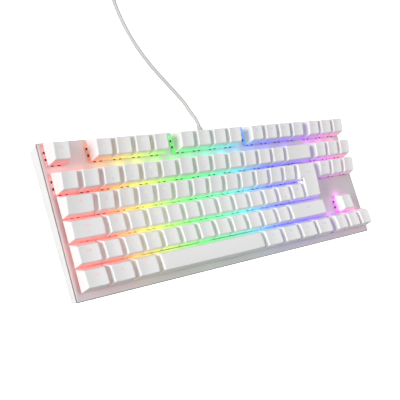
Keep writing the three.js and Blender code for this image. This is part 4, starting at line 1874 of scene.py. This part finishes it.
@dataclass
class Plug(Assembly):
    """The USB plug: its ribbed grip, its metal shell and the contacts in the shell."""

    ribs: int = 5
    rib_start: float = 8.0 * MM
    rib_step: float = 2.4 * MM
    rib_width: float = 1.1 * MM
    rib_half_height: float = 2.2 * MM
    rib_buried: float = 0.6 * MM
    rib_proud: float = 0.35 * MM
    rib_edge: float = 0.25 * MM
    rings: int = 4
    ring_start: float = 2.2 * MM
    ring_step: float = 2.0 * MM
    ring_radius: float = 3.0 * MM
    ring_width: float = 0.9 * MM
    grip_edge: float = 0.3 * MM
    tongue_length: float = 9.5 * MM
    tongue_half: float = 5.4 * MM
    tongue_drop: float = 0.15 * MM
    tongue_below: float = 0.5 * MM
    tongue_above: float = 0.1 * MM
    tongue_edge: float = 0.1 * MM
    blade_pitch: float = 2.4 * MM
    blade_half: float = 0.5 * MM
    blade_rise: float = 0.18 * MM
    blade_span: tuple[float, float] = (8.5 * MM, 0.8 * MM)
    window_offset: float = 2.6 * MM
    window_half: float = 1.1 * MM
    window_span: tuple[float, float] = (7.0 * MM, 4.8 * MM)
    flush: float = 0.02 * MM

    def build(self) -> list[Piece]:
        """Makes the plug.

        Returns:
            The grip, the shell and the contacts.
        """
        grip = self._grip()
        shell = frame["nodes"]["plug_shell"]
        shell.data.materials.clear()
        shell.data.materials.append(self.finishes.steel)
        return [grip, shell, self._contacts()]

    def _grip(self) -> Piece:
        """The moulded grip, with finger ribs on both sides and rings round its neck."""
        mesh = self.shop.copy_of("plug_body")
        low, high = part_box("plug_body")
        middle = (low + high) / 2
        bottom, top = middle.z - self.rib_half_height, middle.z + self.rib_half_height
        for side, i in itertools.product((-1, 1), range(self.ribs)):
            x = high.x - (self.rib_start + self.rib_step * i)
            y = middle.y + side * (high.y - low.y) / 2
            near, far = sorted((y - side * self.rib_buried, y + side * self.rib_proud))
            self.shop.block(mesh, (x, near, bottom), (x + self.rib_width, far, top), 0,
                            self.rib_edge)
        for i in range(self.rings):
            ring = bmesh.ops.create_cone(mesh, cap_ends=True, segments=24,
                                         radius1=self.ring_radius, radius2=self.ring_radius,
                                         depth=self.ring_width)["verts"]
            x = low.x + self.ring_start + self.ring_step * i
            place = Matrix.Translation((x, middle.y, middle.z))
            turn = Matrix.Rotation(math.pi / 2, 4, "Y")
            bmesh.ops.transform(mesh, matrix=place @ turn, verts=ring)
        made = self.shop.piece(mesh, "plug_grip", "base", "cable_jacket", [self.finishes.jacket],
                               rounding=self.grip_edge)
        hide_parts("plug_body")
        return made

    def _contacts(self) -> Piece:
        """The contact tongue with its four gold blades and the two latch windows."""
        low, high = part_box("plug_shell")
        middle = (low + high) / 2
        mesh = bmesh.new()
        tongue = middle.z - self.tongue_drop
        left, right = middle.y - self.tongue_half, middle.y + self.tongue_half
        self.shop.block(mesh, (high.x - self.tongue_length, left, tongue - self.tongue_below),
                        (high.x + self.flush, right, tongue + self.tongue_above), 0,
                        self.tongue_edge)
        back, front = self.blade_span
        for i in range(4):
            y = middle.y + (i - 1.5) * self.blade_pitch
            self.shop.block(mesh, (high.x - back, y - self.blade_half, tongue),
                            (high.x - front, y + self.blade_half, tongue + self.blade_rise), 1)
        back, front = self.window_span
        # The shell's latch windows are near-black blocks: painted shade in the openings.
        for side in (-1, 1):
            y = middle.y + side * self.window_offset
            self.shop.block(mesh, (high.x - back, y - self.window_half, high.z - 0.1 * MM),
                            (high.x - front, y + self.window_half, high.z + self.flush), 2)
        materials = [self.finishes.tongue, self.finishes.gold, self.finishes.window]
        return self.shop.piece(mesh, "plug_contacts", "base", "plug_steel", materials)


# ---- Studio ----------------------------------------------------------------------------


@dataclass(frozen=True)
class SoftBox:
    """An even, soft light from one side."""

    name: str
    towards: Triple
    strength: float
    softness: float
    colour: Colour

    def hang(self) -> None:
        """Adds the light to the scene."""
        data = bpy.data.lights.new(self.name, "SUN")
        data.angle = math.radians(self.softness)
        data.energy = self.strength
        data.color = self.colour
        light = linked(self.name, data)
        light.rotation_euler = (-Vector(self.towards)).to_track_quat("-Z", "Y").to_euler()


@dataclass
class Studio:
    """The floor, the lights and the camera."""

    position: Vector = field(default_factory=lambda: Vector((-0.437587, -0.107708, 0.488776)))
    forward: Vector = field(default_factory=lambda: Vector((0.63862943, 0.16873114, -0.75078775)))
    up: Vector = field(default_factory=lambda: Vector((0.12541793, 0.93979568, 0.3178906)))
    lens: float = 64.44
    floor_size: float = 16.0
    floor_glow: float = 0.7
    world_light: float = 0.20
    boxes: tuple[SoftBox, ...] = (
        SoftBox("left_box", (-0.94, 0.10, 0.28), 2.7, 26.0, (1.0, 0.99, 0.98)),
        SoftBox("rear_fill", (0.55, 0.80, 0.15), 0.8, 40.0, (1.0, 1.0, 1.0)),
        SoftBox("top_box", (-0.10, -0.14, 0.98), 1.6, 40.0, (0.98, 0.99, 1.0)),
    )

    def build(self) -> None:
        """Sets the scene."""
        self._camera()
        self._floor()
        for box in self.boxes:
            box.hang()
        self._world()
        bpy.context.scene.view_settings.view_transform = "Standard"

    def _camera(self) -> None:
        """Places the camera."""
        data = bpy.data.cameras.new("camera")
        data.lens = self.lens
        data.sensor_width = 36.0
        data.clip_start = 0.01
        data.clip_end = 40.0
        camera = linked("camera", data)
        back = -self.forward.normalized()
        right = self.up.cross(back).normalized()
        above = back.cross(right)
        turn = Matrix((right, above, back)).transposed().to_4x4()
        camera.matrix_world = Matrix.Translation(self.position) @ turn
        bpy.context.scene.camera = camera

    def _floor(self) -> None:
        """Lays the pale floor."""
        mesh = bmesh.new()
        bmesh.ops.create_grid(mesh, x_segments=1, y_segments=1, size=self.floor_size / 2)
        data = as_data("floor", mesh)
        shader = Shader("studio_floor")
        shader.dress(Base_Color=(0.92, 0.92, 0.92), Roughness=0.9)
        shader.dress(Emission_Color=(1.0, 1.0, 1.0), Emission_Strength=self.floor_glow)
        data.materials.append(shader.material)
        floor = linked("floor", data)
        floor.visible_diffuse = False

    def _world(self) -> None:
        """Fills the surroundings with an even pale light."""
        world = bpy.data.worlds.new("studio")
        world.use_nodes = True
        backdrop = world.node_tree.nodes["Background"]
        backdrop.inputs["Color"].default_value = (1.0, 1.0, 1.0, 1.0)
        backdrop.inputs["Strength"].default_value = self.world_light
        bpy.context.scene.world = world


def main() -> None:
    """Builds the keyboard in order."""
    logging.basicConfig(level=logging.INFO, format="%(name)s: %(message)s")
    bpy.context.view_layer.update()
    Studio().build()
    shop = Workshop(Deck())
    finishes = Finishes()
    layout = Layout()
    Lead(shop, finishes).build()
    BottomCase(shop, finishes).build()
    TopPlate(shop, finishes).build(layout)
    CircuitBoard(shop, finishes).build(layout)
    Switches(shop, finishes).build(layout)
    Keycaps(shop, finishes).build(layout)


if __name__ == "__main__":
    main()
